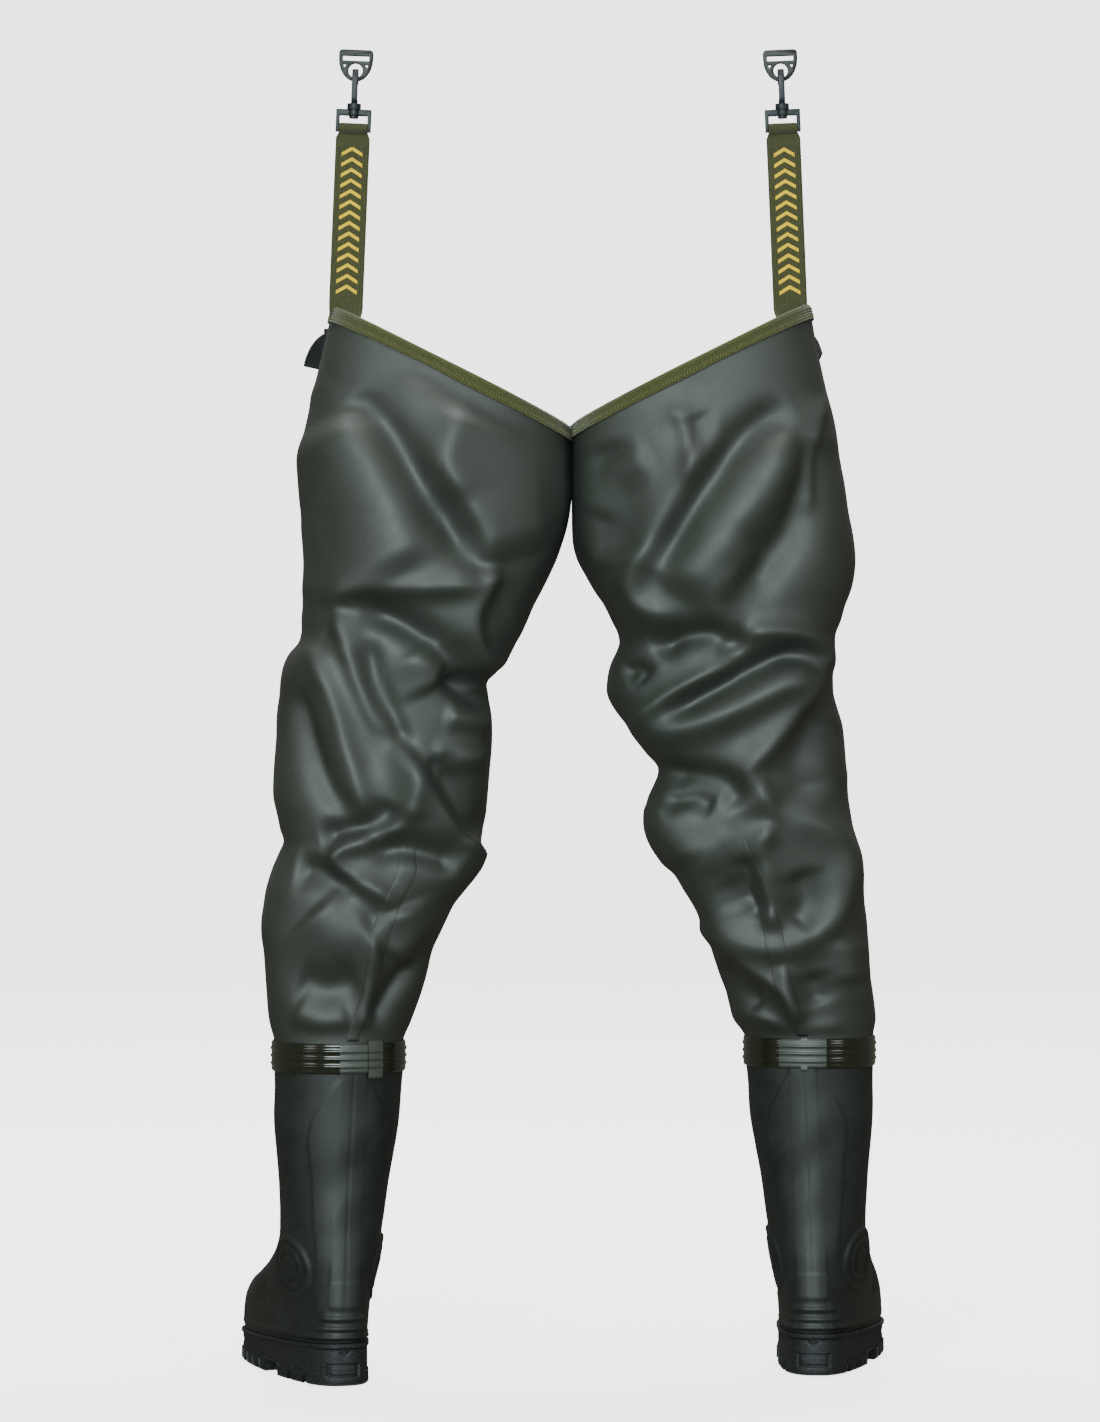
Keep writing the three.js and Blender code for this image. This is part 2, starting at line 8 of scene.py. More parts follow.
import bmesh
import bpy
import numpy as np
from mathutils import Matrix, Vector


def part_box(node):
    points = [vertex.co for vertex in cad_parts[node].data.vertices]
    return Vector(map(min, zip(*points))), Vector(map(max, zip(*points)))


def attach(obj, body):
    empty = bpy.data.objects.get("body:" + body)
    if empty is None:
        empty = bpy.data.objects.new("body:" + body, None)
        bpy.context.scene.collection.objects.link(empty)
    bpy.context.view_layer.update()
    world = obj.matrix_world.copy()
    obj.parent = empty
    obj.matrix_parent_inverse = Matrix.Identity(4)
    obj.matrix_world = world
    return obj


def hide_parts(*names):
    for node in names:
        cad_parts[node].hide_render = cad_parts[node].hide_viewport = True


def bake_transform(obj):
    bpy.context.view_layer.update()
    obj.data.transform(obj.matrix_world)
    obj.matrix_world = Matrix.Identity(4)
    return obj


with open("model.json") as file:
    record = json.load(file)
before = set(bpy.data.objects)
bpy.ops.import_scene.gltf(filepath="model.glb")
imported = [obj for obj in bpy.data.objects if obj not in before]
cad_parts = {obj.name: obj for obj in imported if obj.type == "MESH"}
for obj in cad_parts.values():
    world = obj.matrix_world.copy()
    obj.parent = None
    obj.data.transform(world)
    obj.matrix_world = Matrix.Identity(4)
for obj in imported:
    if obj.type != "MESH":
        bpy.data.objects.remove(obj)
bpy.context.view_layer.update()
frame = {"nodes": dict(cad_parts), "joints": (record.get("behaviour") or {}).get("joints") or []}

bl_info = {
    "name": "Thigh waders",
    "version": (1, 0, 0),
    "blender": (4, 5, 0),
    "location": "View3D > Sidebar > Waders",
    "description": "Builds a pair of PVC thigh waders round the packed frame",
    "category": "Add Mesh",
}

MM = 0.001
JOINTS = {joint["name"]: joint for joint in frame["joints"]}
WADERS = ("left", "right")

# How each wader stands, in millimetres in the frame: its side, the shaft's axis, the turn of its toe, the
# outline of its leg as (height, outer edge, inner edge) and its depth as (height, half depth).
STANCE = {
    "left": {
        "side": 1, "shaft": (204.1, 105.6), "toe_out": 16,
        "outline": [
            (290, 262.1, 146.1), (305, 262.5, 145.5), (318, 266, 140), (331, 268, 135), (345, 269, 130),
            (358, 270, 126), (385, 272, 119), (399, 274, 113), (412, 274, 107), (426, 272, 100),
            (439, 270, 90), (453, 266, 80), (459, 264, 79), (466, 261, 79), (473, 258, 78),
            (482, 254, 76), (493, 257, 74), (507, 260, 71), (520, 263, 70), (547, 263, 68),
            (574, 261, 66), (601, 260, 67), (615, 258, 69), (628, 257, 70), (642, 254, 55),
            (652, 249, 49), (662, 240, 44), (669, 238, 40), (682, 238, 34), (696, 237, 28),
            (709, 237, 21), (723, 236, 14), (736, 236, 8), (750, 237, 3), (763, 238, -1), (777, 238, -4),
            (790, 239, -5.6), (817, 239, -5.68), (844, 237, -5.68), (871, 231, -5.68), (885, 229, -5),
            (898, 225, -4), (912, 222, -2), (939, 216, 2), (965, 210, 6), (990, 206, 10),
        ],
    },
    "right": {
        "side": -1, "shaft": (223.4, 33.1), "toe_out": 9,
        "outline": [
            (290, 281.4, 165.4), (305, 281.8, 163.4), (318, 284, 154), (331, 283, 150), (345, 281, 146),
            (358, 279, 141), (385, 277, 133), (412, 275, 124), (426, 273, 117), (439, 272, 108),
            (453, 271, 98), (466, 268, 87), (480, 264, 78), (493, 262, 74), (507, 260, 74),
            (520, 258, 75), (534, 257, 81), (542, 257, 84), (549, 256, 84), (561, 255, 74),
            (574, 254, 64), (588, 252, 55), (601, 248, 45), (615, 244, 38), (628, 243, 38),
            (642, 242, 41), (649, 241, 44), (655, 242, 47), (662, 244, 49), (669, 245, 48),
            (682, 250, 42), (696, 254, 35), (709, 259, 26), (723, 262, 18), (736, 263, 11), (750, 262, 7),
            (763, 260, 6), (777, 257, 5.8), (804, 253, 5.62), (831, 248, 5.62), (858, 244, 5.62),
            (871, 241, 5.66), (885, 237, 7), (898, 234, 7.5), (912, 231, 8), (925, 228, 9),
            (958, 222, 12), (990, 214, 16),
        ],
    },
}
DEPTH = [
    (290, 58), (305, 58), (358, 66), (412, 74), (466, 84), (520, 88), (574, 88), (628, 90), (682, 96),
    (736, 101), (790, 103), (844, 102), (900, 95), (930, 88), (990, 74),
]
THIGH_Y = 88.1  # the thigh openings' middle, front to back

# Folds on the back of each leg: (height, reach to the left, reach to the right, crispness, places).
# Reaches are to each side of somebody walking along the places (across, up), seen from behind.
BACK_FOLDS = {
    "left": [
        (12, 28, 44, 2, [(198, 867), (183, 835), (162, 790), (144, 750), (131, 723)]),
        (5, 24, 24, 2, [(126, 907), (120, 862), (113, 817), (99, 781)]),
        (-9, 14, 12, 2, [(192, 878), (160, 849), (133, 809), (109, 770), (82, 731)]),
        (10, 60, 12, 1.3, [(88, 877), (102, 844), (109, 821), (96, 796), (78, 763), (65, 727)]),
        (9, 7, 22, 1.4, [(65, 731), (68, 715), (82, 684), (80, 658), (73, 639), (70, 625)]),
        (8, 26, 7, 1.5, [(204, 689), (196, 702), (169, 707), (124, 707), (77, 711)]),
        (-10, 11, 11, 2, [(183, 689), (158, 684), (133, 671), (105, 651), (82, 617)]),
        (7, 10, 8, 1.6, [(201, 693), (196, 671), (186, 642), (170, 602), (150, 575)]),
        (8, 10, 9, 1.6, [(150, 575), (136, 547), (135, 531), (139, 514), (138, 500)]),
        (-7, 8, 9, 2, [(178, 666), (170, 627), (155, 594), (140, 567), (127, 542)]),
        (5, 22, 22, 2, [(135, 655), (117, 619)]),
        (7, 9, 14, 1.3, [(231, 663), (222, 652), (210, 625), (199, 594), (194, 572), (186, 547),
                         (178, 520), (163, 505)]),
        (-6, 9, 12, 2, [(239, 619), (225, 570), (207, 529), (185, 507)]),
        (9, 8, 7, 1.3, [(138, 500), (150, 497), (175, 488), (194, 482), (203, 472), (202, 463),
                        (192, 454), (176, 445), (160, 434), (151, 423)]),
        (-9, 10, 10, 2, [(153, 520), (167, 500), (192, 493), (219, 488)]),
        (-9, 12, 10, 2, [(174, 473), (149, 479), (122, 475), (93, 466)]),
        (9, 6, 20, 1.3, [(142, 570), (124, 536), (103, 503), (88, 484), (80, 468), (82, 450)]),
        (-8, 12, 16, 2, [(115, 563), (93, 520), (77, 488)]),
        (5, 9, 9, 2, [(108, 596), (68, 589)]),
        (-6, 8, 8, 2, [(113, 635), (93, 619), (71, 607)]),
        (5, 12, 9, 2, [(116, 554), (71, 560)]),
        (-7, 12, 12, 2, [(242, 459), (212, 455), (183, 441)]),
        (7, 26, 26, 2, [(223, 426), (198, 403), (171, 408)]),
        (6, 18, 18, 2, [(149, 426), (140, 399), (151, 376)]),
        (5, 8, 6, 1.5, [(166, 414), (172, 385), (176, 354), (179, 331), (182, 313)]),
        (-6, 8, 9, 1.8, [(113, 399), (145, 365), (161, 343), (174, 322)]),
        (-5, 14, 14, 2, [(239, 363), (212, 354), (183, 363)]),
        (4, 14, 10, 2, [(242, 333), (216, 324), (192, 329)]),
    ],
    "right": [
        (10, 22, 24, 2, [(-208, 844), (-177, 798), (-148, 763), (-121, 729), (-101, 700)]),
        (-9, 13, 14, 2, [(-202, 871), (-165, 846), (-133, 814), (-105, 773), (-82, 725)]),
        (8, 9, 14, 1.6, [(-124, 851), (-125, 831), (-109, 798), (-83, 757), (-64, 723), (-64, 702),
                         (-78, 688), (-100, 682)]),
        (-6, 6, 6, 2, [(-114, 862), (-119, 846), (-118, 830)]),
        (4, 8, 4, 1.3, [(-85, 869), (-103, 859), (-110, 840), (-110, 817), (-107, 801)]),
        (-6, 26, 26, 2, [(-31, 844), (-37, 790), (-42, 736)]),
        (4, 16, 16, 2, [(-22, 772), (-40, 808), (-76, 826)]),
        (-9, 18, 16, 2, [(-218, 844), (-211, 799), (-197, 759), (-173, 732), (-154, 707)]),
        (9, 8, 18, 1.3, [(-170, 745), (-141, 709), (-136, 695), (-143, 679), (-157, 667)]),
        (7, 9, 9, 1.5, [(-157, 667), (-188, 670), (-217, 663), (-230, 650), (-228, 634)]),
        (-11, 8, 12, 1.8, [(-76, 653), (-100, 667), (-127, 671), (-145, 666), (-151, 650)]),
        (8, 8, 8, 1.5, [(-64, 583), (-80, 602), (-110, 622), (-136, 635), (-152, 645)]),
        (-9, 8, 9, 2, [(-89, 596), (-123, 615), (-164, 636), (-199, 651), (-222, 654)]),
        (8, 13, 12, 2, [(-67, 580), (-110, 585), (-151, 601), (-192, 623), (-222, 634)]),
        (-7, 9, 14, 2, [(-89, 545), (-118, 542), (-146, 535), (-161, 515)]),
        (8, 8, 16, 1.3, [(-229, 637), (-205, 596), (-182, 565), (-169, 552), (-168, 540), (-181, 518),
                         (-185, 500)]),
        (-6, 20, 20, 2, [(-231, 599), (-211, 556), (-222, 520)]),
        (8, 8, 8, 1.3, [(-185, 500), (-173, 477), (-177, 456), (-183, 427), (-189, 400)]),
        (-7, 10, 10, 2, [(-161, 471), (-166, 444), (-177, 414)]),
        (6, 11, 14, 1.8, [(-192, 503), (-227, 498), (-250, 479), (-254, 455), (-242, 417), (-216, 394),
                          (-188, 385), (-157, 394), (-132, 426), (-121, 450), (-132, 473), (-148, 495)]),
        (-6, 14, 14, 2, [(-211, 457), (-217, 430), (-204, 408)]),
        (-4, 10, 10, 2, [(-146, 448), (-159, 426)]),
        (6, 18, 18, 2, [(-89, 520), (-92, 493), (-112, 459)]),
        (-6, 8, 8, 2, [(-89, 513), (-112, 520), (-132, 513)]),
        (-6, 8, 8, 1.6, [(-51, 632), (-62, 636), (-72, 628)]),
        (6, 10, 7, 1.3, [(-121, 408), (-148, 388), (-168, 367), (-192, 349), (-205, 332), (-211, 317)]),
        (5, 6, 6, 1.4, [(-197, 372), (-202, 344), (-211, 317)]),
        (-6, 12, 12, 2, [(-139, 372), (-159, 349), (-180, 336)]),
        (-5, 12, 12, 2, [(-222, 363), (-229, 336)]),
        (4, 14, 14, 2, [(-252, 394), (-256, 354)]),
        (4, 6, 8, 1.5, [(-153, 336), (-181, 321), (-207, 310), (-256, 313)]),
        (4, 5, 8, 1.4, [(-233, 880), (-224, 858), (-221, 826), (-219, 772)]),
    ],
}
FOLD_REACH = 1.15  # how much wider the folds roll than listed

# Folds on the front, as they fall on a hung leg: the same pair, mirrored, on both waders.
FRONT_FOLDS = [
    (9, 22, 22, 2, [(60, 840), (100, 780), (150, 730), (190, 690)]),
    (-8, 13, 13, 2, [(30, 800), (80, 742), (130, 690), (175, 655)]),
    (8, 10, 8, 1.5, [(215, 860), (205, 780), (190, 720), (200, 660)]),
    (8, 9, 9, 1.6, [(60, 640), (100, 655), (150, 645), (200, 610)]),
    (-8, 10, 10, 2, [(75, 610), (130, 618), (185, 585)]),
    (7, 9, 9, 1.5, [(230, 600), (190, 560), (140, 540), (100, 530)]),
    (-7, 9, 9, 2, [(225, 560), (180, 528), (130, 512)]),
    (8, 9, 9, 1.4, [(95, 500), (130, 480), (180, 486), (225, 470)]),
    (-7, 9, 9, 2, [(110, 462), (160, 456), (220, 440)]),
    (6, 14, 14, 2, [(150, 430), (200, 400), (240, 390)]),
    (5, 8, 8, 1.5, [(140, 400), (170, 360), (190, 325)]),
    (-5, 10, 10, 2, [(160, 345), (205, 335), (245, 350)]),
]


# ---- numbers ----

def smooth(t):
    t = np.clip(t, 0.0, 1.0)
    return t * t * (3 - 2 * t)


def mix(a, b, t):
    return a + (b - a) * t


def through(rows, at, column=1):
    """A smooth curve through (place, value, ...) rows, read at any places."""
    keys = np.array([row[0] for row in rows], float)
    values = np.array([row[column] for row in rows], float)
    slopes = np.gradient(values, keys)
    at = np.clip(at, keys[0], keys[-1])
    i = np.clip(np.searchsorted(keys, at) - 1, 0, len(keys) - 2)
    span = keys[i + 1] - keys[i]
    t = (at - keys[i]) / span
    return ((2 * t**3 - 3 * t**2 + 1) * values[i] + (t**3 - 2 * t**2 + t) * span * slopes[i]
            + (3 * t**2 - 2 * t**3) * values[i + 1] + (t**3 - t**2) * span * slopes[i + 1])


def rounded_path(points, steps=8):
    """A Catmull-Rom curve through points, as an array."""
    p = np.array([points[0], *points, points[-1]], float)
    out = []
    for i in range(1, len(p) - 2):
        for t in np.linspace(0, 1, steps, endpoint=False):
            out.append(0.5 * (2 * p[i] + (p[i + 1] - p[i - 1]) * t
                              + (2 * p[i - 1] - 5 * p[i] + 4 * p[i + 1] - p[i + 2]) * t**2
                              + (3 * p[i] - p[i - 1] - 3 * p[i + 1] + p[i + 2]) * t**3))
    return np.array([*out, p[-2]])


def fold_relief(folds, across, up, mirror=1):
    """The height of all folds at places (across, up)."""
    total = np.zeros_like(across)
    for height, left, right, crisp, places in folds:
        path = rounded_path([(mirror * x, z) for x, z in places])
        lengths = np.hypot(*np.diff(path, axis=0).T)
        reach = np.concatenate([[0], np.cumsum(lengths)]) / lengths.sum()
        nearest = np.full_like(across, 1e9)
        signed, along = np.zeros_like(across), np.zeros_like(across)
        for (ax, az), (bx, bz), start, end in zip(path[:-1], path[1:], reach[:-1], reach[1:]):
            dx, dz = bx - ax, bz - az
            square = dx * dx + dz * dz + 1e-9
            t = np.clip(((across - ax) * dx + (up - az) * dz) / square, 0, 1)
            ox, oz = across - (ax + dx * t), up - (az + dz * t)
            distance = np.hypot(ox, oz)
            closer = distance < nearest
            nearest = np.where(closer, distance, nearest)
            signed = np.where(closer, dx * oz - dz * ox, signed)
            along = np.where(closer, start + (end - start) * t, along)
        beside = -signed / (np.abs(signed).clip(1e-9)) * smooth(nearest / 3)
        width = mix(right, left, smooth(beside * 0.5 + 0.5))
        fade = smooth(along / 0.22 + 0.25) * smooth((1 - along) / 0.22 + 0.25)
        total += height * fade * np.exp(-((nearest**2 + 1.5) ** 0.5 / (width * FOLD_REACH)) ** crisp)
    return total


# ---- meshes ----

def made(name, points, faces, material, smooth_faces=True, uvs=None):
    """A mesh object from points in millimetres, with its faces turned outward."""
    mesh = bpy.data.meshes.new(name)
    mesh.from_pydata((np.asarray(points, float) * MM).tolist(), [], faces)
    if uvs is not None:
        layer = mesh.uv_layers.new(name="UVMap")
        loops = np.empty(len(mesh.loops), int)
        mesh.loops.foreach_get("vertex_index", loops)
        layer.data.foreach_set("uv", np.asarray(uvs, float)[loops].ravel())
    work = bmesh.new()
    work.from_mesh(mesh)
    bmesh.ops.recalc_face_normals(work, faces=work.faces)
    work.to_mesh(mesh)
    work.free()
    mesh.polygons.foreach_set("use_smooth", [smooth_faces] * len(mesh.polygons))
    obj = bpy.data.objects.new(name, mesh)
    bpy.context.scene.collection.objects.link(obj)
    if material:
        mesh.materials.append(material)
    return obj


def skin(rows, columns, closed_rows=False, closed_columns=True, caps=False):
    """The faces of a grid of points, row by row."""
    faces = []
    row_steps = rows if closed_rows else rows - 1
    column_steps = columns if closed_columns else columns - 1
    for r in range(row_steps):
        here, above = r * columns, ((r + 1) % rows) * columns
        for c in range(column_steps):
            d = (c + 1) % columns
            faces.append((here + c, here + d, above + d, above + c))
    if caps:
        faces.append(tuple(range(columns))[::-1])
        faces.append(tuple(range((rows - 1) * columns, rows * columns)))
    return faces


def grid_normals(grid):
    """Unit normals of a grid closed along its columns."""
    along = np.roll(grid, -1, axis=1) - np.roll(grid, 1, axis=1)
    up = np.gradient(grid, axis=0)
    normal = np.cross(along, up)
    return normal / np.linalg.norm(normal, axis=2, keepdims=True).clip(1e-9)


def outward(grid):
    """The normals that point away from the grid's middle."""
    normal = grid_normals(grid)
    return normal if np.sum((grid - grid.mean(axis=1, keepdims=True)) * normal) >= 0 else -normal


def walled(name, grid, wall, material, inner_step=1):
    """A closed wall: the grid outside, and inside it the same grid moved in, with fewer rows."""
    inner = grid - outward(grid) * wall
    if inner_step > 1:
        inner = inner[np.unique(np.append(np.arange(0, len(grid), inner_step), len(grid) - 1))]
    both = np.concatenate([grid, inner[::-1]])
    return made(name, both.reshape(-1, 3), skin(len(both), grid.shape[1], closed_rows=True), material)


def ribbon(name, path, acrosses, outs, width, thickness, material):
    """A flat strap along a path: `acrosses` and `outs` are its width's and its face's directions."""
    half, deep = width / 2, thickness / 2
    bend = min(deep, 0.6)
    profile = []
    columns = 13
    for i in range(columns):
        profile.append((mix(-half + bend, half - bend, i / (columns - 1)), deep))
    for angle in (45, 0, -45):
        profile.append((half - bend + bend * math.cos(math.radians(angle)),
                        deep * math.sin(math.radians(angle))))
    for i in range(columns):
        profile.append((mix(half - bend, -half + bend, i / (columns - 1)), -deep))
    for angle in (225, 180, 135):
        profile.append((-half + bend + bend * math.cos(math.radians(angle)),
                        deep * math.sin(math.radians(angle))))
    grid = np.array([[p + a * x + o * y for x, y in profile] for p, a, o in zip(path, acrosses, outs)])
    run = np.concatenate([[0], np.cumsum(np.linalg.norm(np.diff(path, axis=0), axis=1))])
    face = [1.0 if y > 0 else 0.0 for _, y in profile]
    uvs = np.array([[((x + half) / width + (0 if f else 2), s) for (x, _),
                     f in zip(profile, face)] for s in run])
    faces = skin(len(grid), len(profile), caps=True)
    return made(name, grid.reshape(-1, 3), faces, material, uvs=uvs.reshape(-1, 2))


def ride(piece, body, slot, *nodes):
    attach(piece, body)
    if nodes:
        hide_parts(*nodes)
    return piece


def baked(obj):
    """The evaluated object as a plain mesh, its modifiers gone."""
    depsgraph = bpy.context.evaluated_depsgraph_get()
    mesh = bpy.data.meshes.new_from_object(obj.evaluated_get(depsgraph))
    obj.modifiers.clear()
    old = obj.data
    obj.data = mesh
    bpy.data.meshes.remove(old)
    mesh.name = obj.name
    return obj


def softened(name, node, width, material, swell=0.0):
    """A frame node's solid with its edges rounded, and its skin moved out by swell."""
    work = bmesh.new()
    work.from_mesh(frame["nodes"][node].data)
    bmesh.ops.remove_doubles(work, verts=work.verts, dist=2e-6)
    bmesh.ops.dissolve_limit(work, angle_limit=math.radians(1), verts=work.verts, edges=work.edges)
    mesh = bpy.data.meshes.new(name)
    work.to_mesh(mesh)
    work.free()
    obj = bpy.data.objects.new(name, mesh)
    bpy.context.scene.collection.objects.link(obj)
    mesh.materials.append(material)
    bevel = obj.modifiers.new("Moulded edges", "BEVEL")
    bevel.width, bevel.segments, bevel.limit_method = width * MM, 2, "ANGLE"
    bevel.angle_limit = math.radians(32)
    bevel.use_clamp_overlap = True
    if swell:
        fuller = obj.modifiers.new("Fuller section", "DISPLACE")
        fuller.strength, fuller.mid_level = swell * MM, 0.0
    baked(obj)
    soften_shading(obj, 38)
    return obj


def soften_shading(obj, angle):
    work = bmesh.new()
    work.from_mesh(obj.data)
    for face in work.faces:
        face.smooth = True
    for edge in work.edges:
        edge.smooth = len(edge.link_faces) == 2 and edge.calc_face_angle(0) < math.radians(angle)
    work.to_mesh(obj.data)
    work.free()


# ---- materials ----

def linear(colour):
    """An sRGB hex colour as linear RGBA."""
    parts = [int(colour[i:i + 2], 16) / 255 for i in (1, 3, 5)]
    return (*[c / 12.92 if c <= 0.04045 else ((c + 0.055) / 1.055) ** 2.4 for c in parts], 1.0)


def node(tree, kind, links=(), **settings):
    """Adds a node. Settings name properties or, from in_, sockets; links are (output, input) pairs."""
    made_node = tree.nodes.new(kind)
    for key, value in settings.items():
        if key.startswith("in_"):
            index = key[3:]
            socket = made_node.inputs[int(index) if index.isdigit() else index.replace("_", " ")]
            socket.default_value = value
        else:
            setattr(made_node, key, value)
    for source, target in links:
        tree.links.new(source, made_node.inputs[target])
    return made_node


def finish(name, colour, roughness, **shader):
    """A Principled material with its constants on the shader's own sockets."""
    material = bpy.data.materials.new(name)
    material.use_nodes = True
    tree = material.node_tree
    bsdf = tree.nodes["Principled BSDF"]
    bsdf.inputs["Base Color"].default_value = linear(colour)
    bsdf.inputs["Roughness"].default_value = roughness
    for key, value in shader.items():
        bsdf.inputs[key.replace("_", " ")].default_value = value
    return material, tree, bsdf


def ramp(tree, source, stops):
    made_node = node(tree, "ShaderNodeValToRGB", [(source, 0)])
    elements = made_node.color_ramp.elements
    while len(elements) < len(stops):
        elements.new(0.5)
    for element, (place, colour) in zip(elements, stops):
        element.position, element.color = place, linear(colour)
    return made_node.outputs[0]


def relief(tree, bsdf, height, distance, strength=1.0):
    bump = node(tree, "ShaderNodeBump", [(height, "Height")], in_Strength=strength,
                in_Distance=distance * MM)
    tree.links.new(bump.outputs[0], bsdf.inputs["Normal"])
    return bump


def object_place(tree):
    return node(tree, "ShaderNodeTexCoord").outputs["Object"]


def per_metre(size_mm):
    """A texture's scale for a grain of that size."""
    return 1000.0 / size_mm


def coated_fabric(name, dark, mid, light, roughness):
    """PVC-coated knit: a satin skin with a faint orange peel, cloudy patches and rubbed streaks."""
    material, tree, bsdf = finish(name, mid, roughness, IOR=1.53, Specular_IOR_Level=1.0)
    place = object_place(tree)
    clouds = node(tree, "ShaderNodeTexNoise", [(place, "Vector")], in_Scale=per_metre(140), in_Detail=5.0)
    colour = ramp(tree, clouds.outputs[0], [(0.3, dark), (0.5, mid), (0.72, light)])
    tree.links.new(colour, bsdf.inputs["Base Color"])
    rubbed = node(tree, "ShaderNodeTexNoise", [(place, "Vector")], in_Scale=per_metre(35), in_Detail=7.0,
                  in_Roughness=0.7)
    gloss = node(tree, "ShaderNodeMapRange", [(rubbed.outputs[0], "Value")], in_1=0.3, in_2=0.75,
                 in_3=roughness - 0.05, in_4=roughness + 0.07)
    tree.links.new(gloss.outputs[0], bsdf.inputs["Roughness"])
    peel = node(tree, "ShaderNodeTexNoise", [(place, "Vector")], in_Scale=per_metre(1.6), in_Detail=2.0)
    wave = node(tree, "ShaderNodeTexNoise", [(place, "Vector")], in_Scale=per_metre(22), in_Detail=3.0)
    both = node(tree, "ShaderNodeMath", [(peel.outputs[0], 0), (wave.outputs[0], 1)], operation="ADD")
    relief(tree, bsdf, both.outputs[0], 0.12)
    return material


def moulded_pvc(name, dark, light, roughness, grain, depth, coat=0.0):
    """Injection-moulded PVC: even colour, a fine mould texture and dull scuffs."""
    material, tree, bsdf = finish(name, dark, roughness, IOR=1.52, Coat_Weight=coat, Coat_Roughness=0.12)
    place = object_place(tree)
    scuffs = node(tree, "ShaderNodeTexNoise", [(place, "Vector")], in_Scale=per_metre(30), in_Detail=6.0,
                  in_Roughness=0.65)
    tree.links.new(ramp(tree, scuffs.outputs[0], [(0.35, dark), (0.75, light)]), bsdf.inputs["Base Color"])
    gloss = node(tree, "ShaderNodeMapRange", [(scuffs.outputs[0], "Value")], in_1=0.35, in_2=0.75,
                 in_3=roughness - 0.04, in_4=roughness + 0.1)
    tree.links.new(gloss.outputs[0], bsdf.inputs["Roughness"])
    fine = node(tree, "ShaderNodeTexNoise", [(place, "Vector")], in_Scale=per_metre(grain), in_Detail=3.0)
    relief(tree, bsdf, fine.outputs[0], depth)
    return material


def stippled_pvc(name):
    """Moulded sole compound: matt charcoal with a fine stipple from the eroded mould wall, its raised dots
    painted lighter on top as a painted highlight and darker between them as painted shade.
    """
    material, tree, bsdf = finish(name, "#1d1f20", 0.62, IOR=1.52)
    place = object_place(tree)
    grit = node(tree, "ShaderNodeTexVoronoi", [(place, "Vector")], in_Scale=per_metre(1.5))
    # Painted highlight and shade: the stipple's colour runs from light on each raised dot's top to dark in
    # the hollows between the dots.
    colour = ramp(tree, grit.outputs["Distance"], [(0.0, "#3a3d40"), (0.35, "#222527"), (0.8, "#131516")])
    tree.links.new(colour, bsdf.inputs["Base Color"])
    relief(tree, bsdf, grit.outputs["Distance"], -0.25)
    return material


def woven(name, dark, light, roughness, ribs, pick, depth, print_colour=None):
    """Narrow woven tape read from its own UV, where u runs across and v along in millimetres.

    Ribs give its lengthwise cords, and picks the small steps across them. Its colour is painted darker in
    the grooves and lighter on the cord tops as painted shade, with real fibre tone from a fine noise.
    """
    material, tree, bsdf = finish(name, dark, roughness, IOR=1.5, Sheen_Weight=0.25, Sheen_Roughness=0.5)
    uv = node(tree, "ShaderNodeUVMap", uv_map="UVMap")
    split = node(tree, "ShaderNodeSeparateXYZ", [(uv.outputs[0], 0)])
    cord = node(tree, "ShaderNodeMath", [(split.outputs[0], 0)], operation="MULTIPLY",
                in_1=ribs * 2 * math.pi)
    cord = node(tree, "ShaderNodeMath", [(cord.outputs[0], 0)], operation="SINE")
    step = node(tree, "ShaderNodeMath", [(split.outputs[1], 0)], operation="MULTIPLY",
                in_1=2 * math.pi / pick)
    slant = node(tree, "ShaderNodeMath", [(split.outputs[0], 0), (step.outputs[0], 2)],
                 operation="MULTIPLY_ADD",
                 in_1=ribs * math.pi)
    step = node(tree, "ShaderNodeMath", [(slant.outputs[0], 0)], operation="SINE")
    weave = node(tree, "ShaderNodeMath", [(cord.outputs[0], 0), (step.outputs[0], 1)], operation="ADD")
    level = node(tree, "ShaderNodeMapRange", [(weave.outputs[0], "Value")], in_1=-2.0, in_2=2.0)
    fuzz = node(tree, "ShaderNodeTexNoise", [(object_place(tree), "Vector")], in_Scale=per_metre(1.2),
                in_Detail=4.0)
    both = node(tree, "ShaderNodeMath", [(level.outputs[0], 0), (fuzz.outputs[0], 2)],
                operation="MULTIPLY_ADD", in_1=0.6)
    # Painted shade: dark in the weave's grooves and light on its raised cords, taken from the relief's own
    # height, plus real fibre tone from the fuzz.
    colour = ramp(tree, both.outputs[0], [(0.4, dark), (0.95, light)])
    if print_colour:
        colour = chevrons(tree, split, colour, print_colour)
    tree.links.new(colour, bsdf.inputs["Base Color"])
    relief(tree, bsdf, level.outputs[0], depth)
    return material


